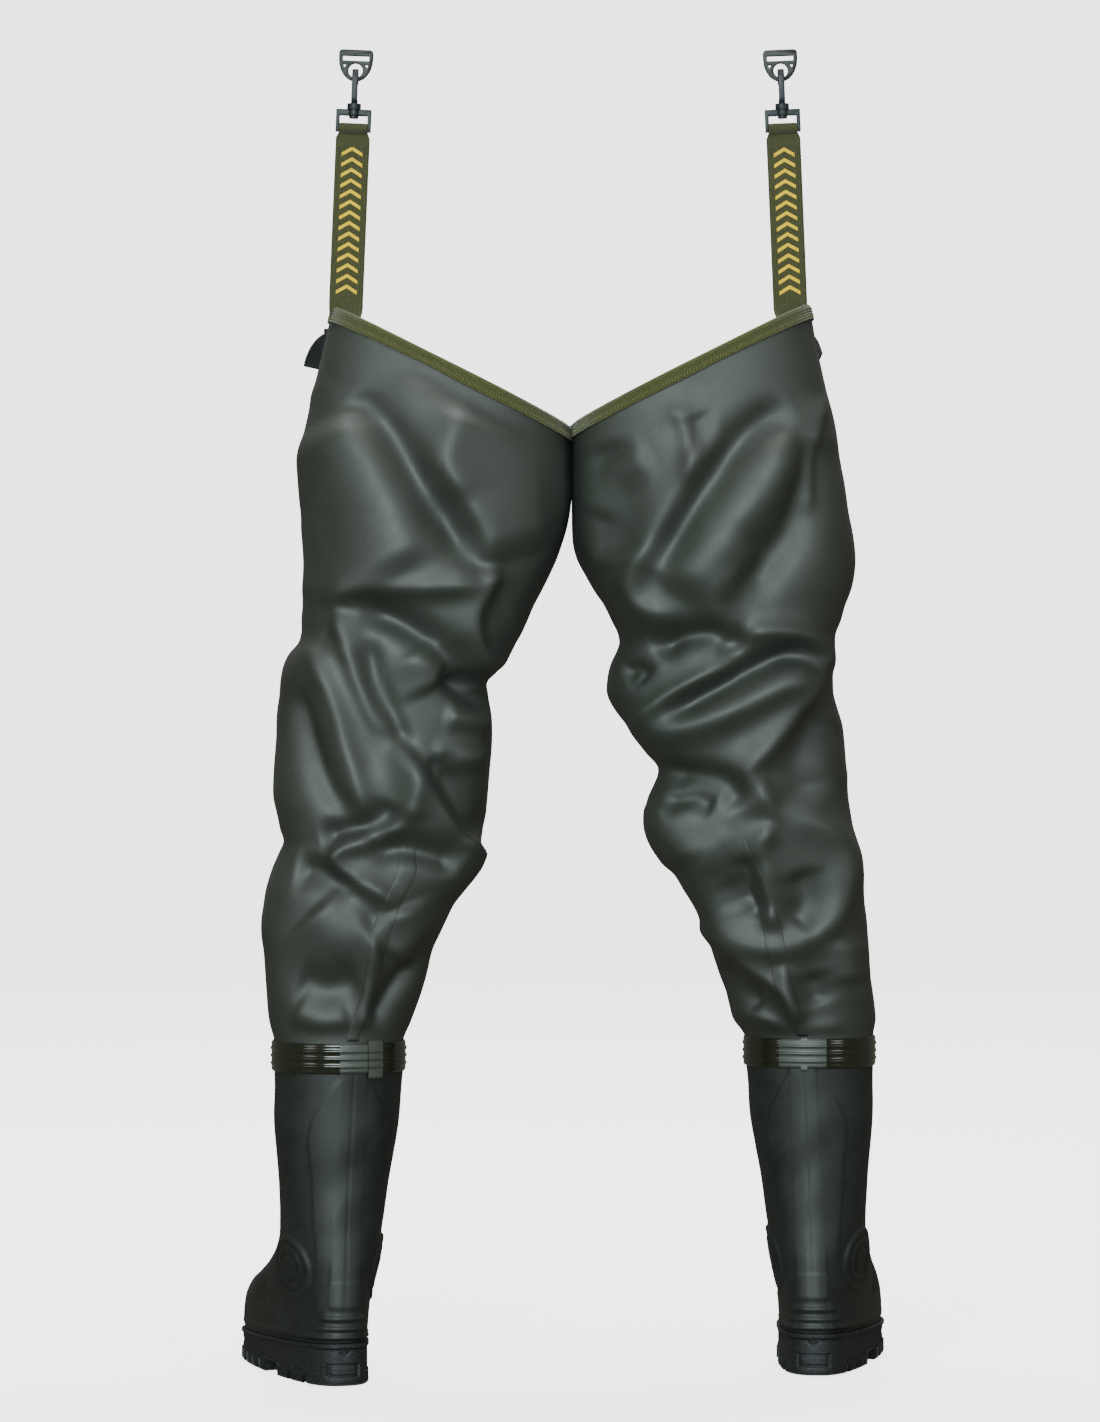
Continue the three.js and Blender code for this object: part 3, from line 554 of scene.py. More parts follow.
def chevrons(tree, split, ground, print_colour):
    """A plain column of printed chevrons down the strap's outer face."""
    off = node(tree, "ShaderNodeMath", [(split.outputs[0], 0)], operation="SUBTRACT", in_1=0.5)
    away = node(tree, "ShaderNodeMath", [(off.outputs[0], 0)], operation="ABSOLUTE")
    point = node(tree, "ShaderNodeMath", [(away.outputs[0], 0), (split.outputs[1], 2)],
                 operation="MULTIPLY_ADD", in_1=18.0)
    turn = node(tree, "ShaderNodeMath", [(point.outputs[0], 0)], operation="DIVIDE", in_1=9.5)
    saw = node(tree, "ShaderNodeMath", [(turn.outputs[0], 0)], operation="FRACT")
    bar = node(tree, "ShaderNodeMath", [(saw.outputs[0], 0)], operation="LESS_THAN", in_1=0.34)
    column = node(tree, "ShaderNodeMath", [(away.outputs[0], 0)], operation="LESS_THAN", in_1=0.31)
    low = node(tree, "ShaderNodeMath", [(turn.outputs[0], 0)], operation="GREATER_THAN", in_1=8.0)
    high = node(tree, "ShaderNodeMath", [(turn.outputs[0], 0)], operation="LESS_THAN", in_1=22.0)
    mask = node(tree, "ShaderNodeMath", [(bar.outputs[0], 0), (column.outputs[0], 1)], operation="MULTIPLY")
    mask = node(tree, "ShaderNodeMath", [(mask.outputs[0], 0), (low.outputs[0], 1)], operation="MULTIPLY")
    mask = node(tree, "ShaderNodeMath", [(mask.outputs[0], 0), (high.outputs[0], 1)], operation="MULTIPLY")
    blended = node(tree, "ShaderNodeMix", [(mask.outputs[0], 0), (ground, 6)], data_type="RGBA",
                   in_7=linear(print_colour))
    return blended.outputs[2]


def knitted(name, dark, light):
    """Brushed polyester knit lining, or pressed felt: soft, matt and fibrous."""
    material, tree, bsdf = finish(name, dark, 0.95, Sheen_Weight=0.4)
    fibre = node(tree, "ShaderNodeTexNoise", [(object_place(tree), "Vector")], in_Scale=per_metre(2.2),
                 in_Detail=8.0,
                 in_Roughness=0.75)
    # Partly painted shade: the fibre noise that raises the relief also makes the colour lighter on raised
    # fibres and darker in the hollows, besides real fibre tone.
    tree.links.new(ramp(tree, fibre.outputs[0], [(0.3, dark), (0.7, light)]), bsdf.inputs["Base Color"])
    relief(tree, bsdf, fibre.outputs[0], 0.4)
    return material


def thread(name, colour):
    """Bonded polyester thread: a slight gloss on each stitch."""
    material, tree, bsdf = finish(name, colour, 0.55, Sheen_Weight=0.2)
    twist = node(tree, "ShaderNodeTexNoise", [(object_place(tree), "Vector")], in_Scale=per_metre(0.9))
    relief(tree, bsdf, twist.outputs[0], 0.1)
    return material


MATERIALS = {}


def materials(finishes):
    MATERIALS.update(
        leg=coated_fabric("coated_fabric_satin", "#1f241c", finishes.leg, "#2a322a", 0.63),
        boot=moulded_pvc("boot_pvc_moulded", "#1b201c", "#272d29", 0.52, 1.4, 0.05),
        sole=stippled_pvc("sole_pvc_stippled"),
        band=moulded_pvc("band_pvc_polished", "#1c2013", "#23271a", 0.12, 3.0, 0.03, coat=0.6),
        patch=coated_fabric("seam_pvc_matt", "#2f362f", "#363d35", "#3e453e", 0.52),
        tape=woven("binding_tape_woven", "#23240d", finishes.tape, 0.9, 5, 1.6, 0.45),
        strap=woven("elastic_webbing_woven", "#26270f", finishes.strap, 0.88, 16, 1.9, 0.3,
                    print_colour="#ffd200"),
        anchor=woven("elastic_webbing_plain", "#26270f", finishes.strap, 0.88, 16, 1.9, 0.3),
        webbing=woven("black_webbing_woven", "#050506", "#0e0e10", 0.8, 9, 1.8, 0.35),
        acetal=moulded_pvc("hook_acetal_moulded", "#14181d", "#1e242a", 0.5, 1.2, 0.03),
        loop=moulded_pvc("loop_nylon_moulded", "#070809", "#0f1012", 0.5, 1.2, 0.03),
        lining=knitted("lining_knit_brushed", "#4a483e", "#77736a"),
        felt=knitted("insole_felt_pressed", "#5a584e", "#7d796c"),
        thread=thread("stitch_thread_olive", "#6a6b33"),
        dark_thread=thread("stitch_thread_dark", "#2b2c1e"),
    )


# ---- stitches, by geometry nodes ----

def stitch_tree():
    """Puts a small thread bead on every point, along its own direction and lying on the cloth."""
    tree = bpy.data.node_groups.new("Stitches", "GeometryNodeTree")
    face = tree.interface
    face.new_socket("Geometry", in_out="INPUT", socket_type="NodeSocketGeometry")
    for name, value in (("Length", 0.003), ("Thickness", 0.0006)):
        face.new_socket(name, in_out="INPUT", socket_type="NodeSocketFloat").default_value = value
    face.new_socket("Material", in_out="INPUT", socket_type="NodeSocketMaterial")
    face.new_socket("Geometry", in_out="OUTPUT", socket_type="NodeSocketGeometry")
    entry = node(tree, "NodeGroupInput")
    along = node(tree, "GeometryNodeInputNamedAttribute", data_type="FLOAT_VECTOR", in_Name="along")
    out = node(tree, "GeometryNodeInputNamedAttribute", data_type="FLOAT_VECTOR", in_Name="out")
    turn = node(tree, "FunctionNodeAxesToRotation", [(along.outputs[0], 0), (out.outputs[0], 1)],
                primary_axis="Z", secondary_axis="X")
    bead = node(tree, "GeometryNodeMeshUVSphere", in_Segments=8, in_Rings=5, in_Radius=0.5)
    size = node(tree, "ShaderNodeCombineXYZ",
                [(entry.outputs["Thickness"], 0), (entry.outputs["Thickness"], 1),
                                              (entry.outputs["Length"], 2)])
    places = node(tree, "GeometryNodeInstanceOnPoints", [
        (entry.outputs["Geometry"], "Points"), (bead.outputs[0], "Instance"), (turn.outputs[0], "Rotation"),
        (size.outputs[0], "Scale")])
    real = node(tree, "GeometryNodeRealizeInstances", [(places.outputs[0], 0)])
    even = node(tree, "GeometryNodeSetShadeSmooth", [(real.outputs[0], 0)])
    cover = node(tree, "GeometryNodeSetMaterial",
                 [(even.outputs[0], 0), (entry.outputs["Material"], "Material")])
    node(tree, "NodeGroupOutput", [(cover.outputs[0], 0)])
    return tree


def stitches(name, points, along, out, length, thickness, material):
    """A run of stitches as one plain mesh."""
    mesh = bpy.data.meshes.new(name)
    mesh.from_pydata((np.asarray(points) * MM).tolist(), [], [])
    for key, values in (("along", along), ("out", out)):
        layer = mesh.attributes.new(key, "FLOAT_VECTOR", "POINT")
        layer.data.foreach_set("vector", np.asarray(values, float).ravel())
    obj = bpy.data.objects.new(name, mesh)
    bpy.context.scene.collection.objects.link(obj)
    tree = bpy.data.node_groups.get("Stitches") or stitch_tree()
    modifier = obj.modifiers.new("Stitches", "NODES")
    modifier.node_group = tree
    inputs = {item.name: item.identifier for item in tree.interface.items_tree if item.in_out == "INPUT"}
    modifier[inputs["Length"]] = length * MM
    modifier[inputs["Thickness"]] = thickness * MM
    modifier[inputs["Material"]] = material
    return baked(obj)


# ---- the leg's surface ----

def rim_height(stance, x, sizes):
    """The slanted top's height over a place across."""
    return sizes.rim_low + sizes.rim_slope * np.maximum(stance["side"] * (x + 2.43), 0)


def leg_base(stance, angle, height, out=0.0):
    """Points on the unfolded leg, as CAD has it: angle 0 is its outer side and 90 degrees its back."""
    outer = through(stance["outline"], height, 1)
    inner = through(stance["outline"], height, 2)
    half, middle = (outer - inner) / 2, (outer + inner) / 2
    deep = through(DEPTH, height)
    rise = np.clip((height - 304) / (838 - 304), 0, 1)
    y = mix(stance["shaft"][1], THIGH_Y, rise)
    flat_back = 0.22 * smooth((height - 306) / 50) + 0.1 * smooth((height - 860) / 80)
    square = 1 - flat_back * smooth(np.sin(angle) * 2.5)
    cos, sin = np.cos(angle), np.sin(angle)
    across = np.sign(cos) * np.abs(cos) ** square
    back = np.sign(sin) * np.abs(sin) ** square
    normal = np.stack([cos / half, sin / deep], axis=-1)
    normal /= np.linalg.norm(normal, axis=-1, keepdims=True)
    x = stance["side"] * (middle + half * across + out * normal[..., 0])
    return np.stack([x, y + deep * back + out * normal[..., 1], height + 0 * x], axis=-1)


def leg_out(stance, angle, height):
    """The leg's level outward direction."""
    half = (through(stance["outline"], height, 1) - through(stance["outline"], height, 2)) / 2
    normal = np.stack([stance["side"] * np.cos(angle) / half, np.sin(angle) / through(DEPTH, height),
                       0 * half], axis=-1)
    return normal / np.linalg.norm(normal, axis=-1, keepdims=True)


def rim_at(stance, angle, sizes):
    height = np.full_like(angle, sizes.rim_low)
    for _ in range(14):
        height = rim_height(stance, leg_base(stance, angle, height)[..., 0], sizes)
    return height


def leg_grid(stance, name, sizes, columns=208, rows=200):
    side = stance["side"]
    angle = np.linspace(0, 2 * math.pi, columns, endpoint=False)
    top = rim_at(stance, angle, sizes) - 0.6
    share = np.linspace(0, 1, rows)[:, None]
    height = 290.8 + (top[None, :] - 290.8) * share
    angles = np.broadcast_to(angle, height.shape)
    base = leg_base(stance, angles, height)
    out = leg_out(stance, angles, height)
    x, z, sin = base[..., 0], base[..., 2], np.sin(angles)
    behind = smooth((sin + 0.16) / 0.45)
    lift = behind * fold_relief(BACK_FOLDS[name], x, z)
    lift += (1 - behind) * fold_relief(FRONT_FOLDS, side * x, z)
    lift = (2 * lift + np.roll(lift, 1, axis=1) + np.roll(lift, -1, axis=1)) / 4
    lift[1:-1] = (2 * lift[1:-1] + lift[2:] + lift[:-2]) / 4
    lift *= sizes.fold_depth * smooth((z - 305) / 18) * smooth((top[None, :] - 13 - z) / 34)
    lift *= smooth((side * x - 4) / 28) * smooth((np.abs(sin) + 0.28) / 0.6)
    return base + out * lift[..., None]


# ---- properties ----

def millimetres(name, description, default):
    return bpy.props.FloatProperty(name=name, description=description, default=default, min=0.0)


def hex_colour(name, description, default):
    return bpy.props.StringProperty(name=name, description=description, default=default)


class WaderLeg(bpy.types.PropertyGroup):
    """Sizes of the leg and its bound top, in millimetres"""
    wall: millimetres("Wall", "Thickness of the coated fabric", 1.2)
    rim_low: millimetres("Lowest rim height", "Height of the slanted top at the crotch", 855.0)
    rim_slope: bpy.props.FloatProperty(name="Rim slope",
                                       description="Rise of the top over its run outward", default=0.505)
    fold_depth: bpy.props.FloatProperty(name="Fold depth",
                                        description="How deep the folds are, 1 as listed", default=1.7)
    tape_width: millimetres("Binding width", "Height of the folded tape on each face", 12.0)
    tape_ribs: bpy.props.IntProperty(name="Binding ribs", description="Lengthwise ribs of the tape",
                                     default=5)
    stitch_pitch: millimetres("Stitch pitch", "Distance between the binding's cross stitches", 3.0)


class WaderStrap(bpy.types.PropertyGroup):
    """Sizes of the webbing, in millimetres"""
    width: millimetres("Strap width", "Width of the suspension strap", 30.0)
    thickness: millimetres("Strap thickness", "Thickness of the suspension strap", 2.0)
    webbing: millimetres("Thigh webbing width", "Width of the thigh strap and its tail", 20.0)


class WaderBoot(bpy.types.PropertyGroup):
    """Sizes of the boot, in millimetres"""
    length: millimetres("Foot length", "Length of the outsole, heel to toe", 300.0)
    wall: millimetres("Boot wall", "Thickness of the moulded upper", 2.8)
    band_low: millimetres("Band bottom", "Height of the weld band's lower edge", 277.0)
    band_high: millimetres("Band top", "Height of the weld band's upper edge", 304.0)


class WaderFinish(bpy.types.PropertyGroup):
    """Colours, as sRGB hex"""
    leg: hex_colour("Leg", "Coated fabric of the leg", "#252b22")
    tape: hex_colour("Binding", "Woven tape round the top", "#525425")
    strap: hex_colour("Strap", "Suspension webbing", "#4b4c29")


# ---- the boot's surface, in its own frame: across, forward from the heel's back, and up ----

# Level sections of the upper: height, back, front, half width at heel and ball, bluntness of the toe.
UPPER = [
    (24, 3, 294.5, 38, 52, 0.71), (38, 3, 294, 38, 52, 0.72), (52, 3, 292, 39, 52, 0.74),
    (68, 3, 280, 40, 51, 0.78), (80, 4, 252, 41, 49, 0.82), (92, 5, 210, 42, 47, 0.86),
    (106, 6, 168, 43.5, 45.5, 0.92), (122, 8, 141, 44.5, 44.5, 0.96), (142, 10, 127.5, 45.5, 45.5, 1),
    (172, 11, 124, 48.5, 48.5, 1), (205, 10, 122, 53, 53, 1), (245, 9, 123, 57, 57, 1),
    (273, 8, 124, 58, 58, 1), (300, 8, 124, 58, 58, 1),
]
LEAN, TOE_INSET, HEEL_TO_SHAFT = 12.0, 8.0, 66.0
SOLE_BACK, SOLE_FRONT, ANKLE, INSTEP = 38.0, 24.0, 142.0, 106.0


def lean_at(height):
    return LEAN * np.clip(height / 277, 0, 1)


def sole_top(forward, length):
    return mix(SOLE_BACK, SOLE_FRONT, np.clip(forward / length, 0, 1))


def foot_points(stance, angle, height, length, inset=0.0, level=None):
    """Points on the upper: angle 0 is the boot's outer side (for the left one) and 90 degrees its heel."""
    back, front = through(UPPER, height, 1), through(UPPER, height, 2)
    heel, ball, blunt = (through(UPPER, height, k) for k in (3, 4, 5))
    forward = (back + front) / 2 - ((front - back) / 2 - inset) * np.sin(angle)
    share = np.clip((forward - back) / (front - back), 0, 1)
    half = mix(heel, ball, smooth(share)) - inset
    drop = (SOLE_BACK - sole_top(forward, length)) * np.clip((INSTEP - height) / (INSTEP - SOLE_BACK), 0, 1)
    foot_share = np.clip((ANKLE - height) / (ANKLE - SOLE_BACK), 0, 1)
    swing = TOE_INSET * foot_share * (forward / length) ** 2
    cos = np.cos(angle)
    across = half * np.sign(cos) * np.abs(cos) ** blunt - stance["side"] * (swing + lean_at(height))
    up = (height - drop) if level is None else level + 0 * forward
    return np.stack([across, forward, up], axis=-1)


def boot_place(stance, points):
    """Boot-frame points in the frame: turned to the toe's direction, with the shaft's axis in its place."""
    turn = stance["side"] * math.radians(stance["toe_out"])
    ax, ay = -stance["side"] * lean_at(290), -HEEL_TO_SHAFT
    cos, sin = math.cos(turn), math.sin(turn)
    sx, sy = stance["side"] * stance["shaft"][0], stance["shaft"][1]
    x, y = points[..., 0] - ax, -points[..., 1] - ay
    return np.stack([sx + cos * x - sin * y, sy + sin * x + cos * y, points[..., 2]], axis=-1)


def ridge(distance, width, crisp=2.0):
    return np.exp(-np.abs(distance / width) ** crisp)


def boot_relief(stance, local):
    """Moulded features of the upper as heights.

    They are the back strip, heel ribs, calf panels, counter, ankle pads and creases.
    """
    side = stance["side"]
    across = local[..., 0] + side * lean_at(local[..., 2])
    forward, up = local[..., 1], local[..., 2]
    heel = smooth((70 - forward) / 14)
    half = mix(14.5, 12.5, np.clip((up - 60) / 200, 0, 1))
    strip = smooth((half - np.abs(across)) / 1.6 + 0.5)
    high = smooth((up - 66) / 5) * heel
    lift = 1.1 * strip * high - 0.5 * ridge(across, 1.0) * high
    panel = through([(90, 24), (124, 26), (180, 31), (237, 33), (252, 26), (268, 16), (276, 10)], up)
    panel_on = smooth((up - 96) / 20) * smooth((276 - up) / 6) * heel
    lift += panel_on * (0.9 * smooth((panel - np.abs(across)) / 3.0 + 0.5) * (1 - strip))
    for place, span in ((60, 19), (51, 21.5), (42, 26)):
        lift += 1.9 * ridge(up - place, 2.3,
                            4) * smooth((span - np.abs(across)) / 2.5 + 0.5) * smooth((40 - forward) / 8)
    counter = 92 - 0.9 * np.maximum(np.abs(across) - 13, 0)
    lift += 1.0 * smooth((counter - up) / 2.6 + 0.5) * smooth((96 - forward) / 5) * (1 - 0.6 * strip)
    around = np.hypot((forward - 56) / 1.08, up - 101)
    on_side = smooth((np.abs(across) - 22) / 8)
    pad = 2.4 * smooth((29 - around) / 3 + 0.5) - 1.9 * ridge(around - 22, 1.6) - 1.9 * ridge(around - 13,
        1.6)
    lift += pad * on_side - 0.8 * ridge(around, 4) * on_side
    for place, depth in ((142, 1.6), (158, 2.0), (174, 1.7)):
        bow = forward - place - 0.16 * (up - 90) + 0.004 * across**2
        lift -= depth * ridge(bow, 4.2) * smooth((up - 52) / 14)
    cap = forward - 208 - 0.008 * across**2
    lift += 1.0 * smooth(cap / 2.4 + 0.5) * smooth((up - 30) / 8)
    shaft = smooth((up - 120) / 20)
    creases = np.sin(up / 11 + 0.9 * np.sin(across / 17))
    lift += shaft * 0.8 * creases * ridge(np.sin(across / 30 + up / 60), 0.8)
    welt = smooth((SOLE_BACK + 9 - (up + (SOLE_BACK - sole_top(forward, 300)))) / 2 + 0.5)
    return lift + 0.9 * welt


def boot_grid(stance, sizes, columns=216, rows=170):
    angle = np.linspace(0, 2 * math.pi, columns, endpoint=False)
    t = np.linspace(0, 1, rows)
    height = mix(38.3, 290, t * 0.75 + 0.25 * t**2)[:, None] + 0 * angle[None, :]
    local = foot_points(stance, angle[None, :] + 0 * height, height, sizes.length)
    calm = smooth((height - 40) / 4) * smooth((284 - height) / 6)
    return boot_place(stance, local + outward(local) * (boot_relief(stance, local) * calm)[..., None])


def sole_grid(stance, sizes, columns=360):
    """The outsole from the middle of its tread out to its edge, up its side wall and in over its top."""
    angle = np.linspace(0, 2 * math.pi, columns, endpoint=False)
    edge = foot_points(stance, angle, np.full(columns, 38.0), sizes.length, inset=-3.0, level=0)
    top = foot_points(stance, angle, np.full(columns, 38.0), sizes.length, inset=3.2, level=0)
    centre = np.array([-stance["side"] * 2.0, 150.0, 0.0])

    def tread(points):
        forward, across = points[..., 1], points[..., 0]
        lift = np.zeros_like(forward)
        for place in (33, 62.5, *np.arange(148, 286, 24)):
            lift = np.maximum(lift, 8.5 * smooth((2.9 - np.abs(forward - place)) / 1.2 + 0.5))
        arch = smooth((forward - 91) / 2) * smooth((128 - forward) / 2)
        centre_groove = 6 * smooth((2.5 - np.abs(across + stance["side"] * 3)) / 1.2 + 0.5)
        lift = np.maximum(lift, centre_groove * smooth((forward - 8) / 4) * smooth((286 - forward) / 6))
        return np.maximum(lift, 11 * arch)

    rows = []
    for share in (0.06, 0.2, 0.34, 0.48, 0.6, 0.72, 0.82, 0.9, 0.96, 1.0):
        ring = centre + (edge - centre) * share
        ring[:, 2] = tread(ring) + (0.9 if share == 1.0 else 0)
        rows.append(ring)
    out = edge - top
    out /= np.linalg.norm(out, axis=1, keepdims=True)
    bottom = tread(edge)
    high = sole_top(edge[:, 1], sizes.length) - 0.2
    across = edge[:, 0] + stance["side"] * lean_at(38)
    heel = smooth((30 - edge[:, 1]) / 6)
    for share in np.linspace(0.04, 1, 34):
        level = mix(bottom + 1.0, high, share)
        swell = 1.6 * smooth((share - 0.86) / 0.05) - 1.4 * smooth((0.06 - share) / 0.06)
        groove = -1.4 * ridge(level - mix(32.5, 26, np.clip((6 - np.abs(across)) / 6, 0, 1)), 1.2, 4) * heel
        window = smooth((15.5 - np.abs(across)) / 0.9 + 0.5) * smooth((6 - np.abs(level - 14)) / 0.9 + 0.5)
        raised = smooth((12.8 - np.abs(across)) / 0.9 + 0.5) * smooth((3.6 - np.abs(level - 14)) / 0.9 + 0.5)
        window = heel * (1.3 * raised - 2.2 * window)
        forward = edge[:, 1]
        panel = -smooth((level - 12) / 1.2) * smooth((high - 7 - level) / 1.2)
        panel = panel * smooth((forward - 128) / 3)
        frame_line = -0.8 * ridge(level - 10.5, 0.9, 4) * smooth((forward - 30) / 6)
        ring = edge + out * (swell + groove + window + panel + frame_line - 1.4)[:, None]
        ring[:, 2] = level
        rows.append(ring)
    for share in (0.3, 1.0):
        ring = mix(edge, top, share)
        ring[:, 2] = high + 0.1
        rows.append(ring)
    for share in (0.6, 0.1):
        ring = centre + (top - centre) * share
        ring[:, 2] = sole_top(ring[:, 1], sizes.length) - 0.2
        rows.append(ring)
    return boot_place(stance, np.array(rows))


# ---- operators ----

class BuildStage(bpy.types.Operator):
    """Pale floor and backdrop, soft lights and the camera"""
    bl_idname = "waders.stage"
    bl_label = "Stage"

    def execute(self, context):
        paper, _, _ = finish("backdrop_paper_matt", "#f4f4f3", 0.9, Emission_Color=linear("#ffffff"),
                             Emission_Strength=2.7)
        radius, bend, high, around = 10.0, 2.0, 9.0, 96
        profile = [(2.0, 0.0)] + [
            (radius - bend + bend * math.sin(a), bend - bend * math.cos(a)) for a in np.linspace(0,
                math.pi / 2, 24)
        ] + [(radius, high)]
        turns = [2 * math.pi * i / around for i in range(around)]
        points = [(r * math.cos(a), r * math.sin(a), z - 0.0004) for r, z in profile for a in turns]
        faces = [face[::-1] for face in skin(len(profile), around)] + [tuple(range(around))]
        mesh = bpy.data.meshes.new("floor")
        mesh.from_pydata(points, [], faces)
        mesh.materials.append(paper)
        mesh.polygons.foreach_set("use_smooth", [True] * len(mesh.polygons))
        floor = bpy.data.objects.new("floor", mesh)
        context.scene.collection.objects.link(floor)
        floor.visible_glossy = floor.visible_diffuse = floor.visible_shadow = False

        world = bpy.data.worlds.new("studio")
        context.scene.world = world
        world.use_nodes = True
        background = world.node_tree.nodes["Background"]
        background.inputs["Color"].default_value = linear("#efe7da")
        background.inputs["Strength"].default_value = 0.16
        self.light(context, "key_softbox", (0.7, 5.2, 2.0), (0, 0.1, 0.62), 3.2, 320, "#e3f6f6")
        for side in (-1, 1):
            self.light(context, "side_softbox", (side * 2.9, 2.6, 0.9), (0, 0.1, 0.35), 1.6, 16)
        self.light(context, "backdrop_light", (0.0, -1.6, 4.6), (0, -3.6, 0.4), 3.4, 330)
        self.light(context, "floor_light", (0.0, 1.4, 4.4), (0, 0.2, 0.0), 2.4, 40)

        camera = bpy.data.cameras.new("camera")
        camera.lens, camera.sensor_width = 129.4, 36.0
        camera.clip_start, camera.clip_end = 0.05, 60
        obj = bpy.data.objects.new("camera", camera)
        obj.location = (0.0138, 4.708, 0.600)
        obj.rotation_euler = (math.radians(90), 0, math.radians(180))
        context.scene.collection.objects.link(obj)
        context.scene.camera = obj
        return {"FINISHED"}

    @staticmethod
    def light(context, name, place, target, size, power, colour="#ffffff"):
        lamp = bpy.data.lights.new(name, "AREA")
        lamp.color = linear(colour)[:3]
        lamp.shape, lamp.size, lamp.energy = "DISK", size, power
        obj = bpy.data.objects.new(name, lamp)
        obj.visible_camera = False
        obj.location = place
        obj.rotation_euler = (Vector(target) - Vector(place)).to_track_quat("-Z", "Y").to_euler()
        context.scene.collection.objects.link(obj)


class BuildLegs(bpy.types.Operator):
    """The two coated-fabric legs with their folds"""
    bl_idname = "waders.legs"
    bl_label = "Legs"

    def execute(self, context):
        sizes = context.scene.wader_leg
        for name in WADERS:
            grid = leg_grid(STANCE[name], name, sizes)
            leg = walled(name + "_leg_skin", grid, sizes.wall, MATERIALS["leg"])
            ride(leg, name + "_wader", "coated_fabric", name + "_leg")
        return {"FINISHED"}


class BuildBindings(bpy.types.Operator):
    """Ribbed tape folded over each slanted top, with its stitches"""
    bl_idname = "waders.bindings"
    bl_label = "Bindings"

    def execute(self, context):
        sizes = context.scene.wader_leg
        for name in WADERS:
            stance = STANCE[name]
            angle = np.linspace(0, 2 * math.pi, 300, endpoint=False)
            top = rim_at(stance, angle, sizes)
            width = sizes.tape_width
            profile = []
            for t in np.linspace(0, 1, 31):
                below = mix(width, 0.4, t)
                rib = 0.75 * abs(math.sin(math.pi * sizes.tape_ribs * t)) ** 0.8
                profile.append((1.5 + rib, below))
            for a in np.linspace(0, 180, 9):
                profile.append((-0.65 + 2.15 * math.cos(math.radians(a)),
                                -0.1 - 1.5 * math.sin(math.radians(a))))
            for t in np.linspace(0, 1, 9):
                profile.append((-2.8, mix(0.4, width, t)))
            profile += [(-1.6, width), (-1.3, width - 1), (0.25, width - 1), (0.5, width)]
            rows = []
            for out, below in profile:
                rows.append(leg_base(stance, angle, top - below, out))
            rows = np.array(rows)
            run = np.concatenate([[0], np.cumsum(np.linalg.norm(np.diff(rows[0], axis=0), axis=1))])
            uvs = [(i / 30, s) for i in range(len(profile)) for s in run]
            tape = made(name + "_binding_tape", rows.reshape(-1, 3),
                        skin(len(rows), 300, closed_rows=True), MATERIALS["tape"], uvs=uvs)
            ride(tape, name + "_wader", "binding_tape", name + "_top_binding")
            self.sew(name, stance, sizes)
        return {"FINISHED"}

    @staticmethod
    def sew(name, stance, sizes):
        fine = np.linspace(0, 2 * math.pi, 2001)
        line = leg_base(stance, fine, rim_at(stance, fine, sizes) - 8.6, 1.9)
        run = np.concatenate([[0], np.cumsum(np.linalg.norm(np.diff(line, axis=0), axis=1))])
        count = int(run[-1] // sizes.stitch_pitch)
        places = np.interp(np.linspace(0, run[-1], count, endpoint=False), run, fine)
        rim = rim_at(stance, places, sizes)
        out = leg_out(stance, places, rim)
        cross_low = leg_base(stance, places, rim - 9.9, 1.95)
        cross_high = leg_base(stance, places, rim - 6.6, 1.95)
        along = cross_high - cross_low
        cross = stitches(name + "_binding_cross_stitches", (cross_low + cross_high) / 2, along, out, 3.4,
                         0.75, MATERIALS["thread"])
        ride(cross, name + "_wader", "binding_tape")
        ahead = leg_base(stance, places + 0.004, rim_at(stance, places + 0.004, sizes) - 10.6, 1.9)
        here = leg_base(stance, places, rim - 10.6, 1.9)
        low = stitches(name + "_binding_edge_stitches", here, ahead - here, out, 2.5, 0.6,
                       MATERIALS["thread"])
        ride(low, name + "_wader", "binding_tape")


class BuildBoots(bpy.types.Operator):
    """Moulded uppers and outsoles"""
    bl_idname = "waders.boots"
    bl_label = "Boots"

    def execute(self, context):
        sizes = context.scene.wader_boot
        for name in WADERS:
            stance = STANCE[name]
            upper = walled(name + "_boot_upper", boot_grid(stance, sizes), sizes.wall, MATERIALS["boot"],
                           inner_step=6)
            ride(upper, name + "_wader", "boot_pvc", name + "_boot_shell")
            grid = sole_grid(stance, sizes)
            sole = made(name + "_sole", grid.reshape(-1, 3), skin(len(grid), grid.shape[1], caps=True),
                        MATERIALS["sole"])
            soften_shading(sole, 50)
            ride(sole, name + "_wader", "outsole_pvc", name + "_outsole")
        return {"FINISHED"}


def band_ring(stance, angles, offset, low, high, close):
    """Points of the weld band between two heights: three ribs, seen on the outside."""
    x0, y0 = stance["side"] * stance["shaft"][0], stance["shaft"][1]
    rows = []
    levels = np.linspace(low, high, 56)
    for z in levels:
        rib = sum(float(ridge(z - place, 1.35, 2.4)) for place in (283.7, 290.5, 297.2))
        lip = 0.9 * math.exp(-((z - low) / 1.0) ** 2) + 0.9 * math.exp(-((high - z) / 1.0) ** 2)
        rows.append((60.4 + offset + 1.0 * rib - lip, z))
    inner = 59.0 if close else 59.6
    rows += [(inner, high), (inner, low)]
    return np.array([[(x0 + r * math.cos(a), y0 + r * math.sin(a), z) for a in angles] for r, z in rows])


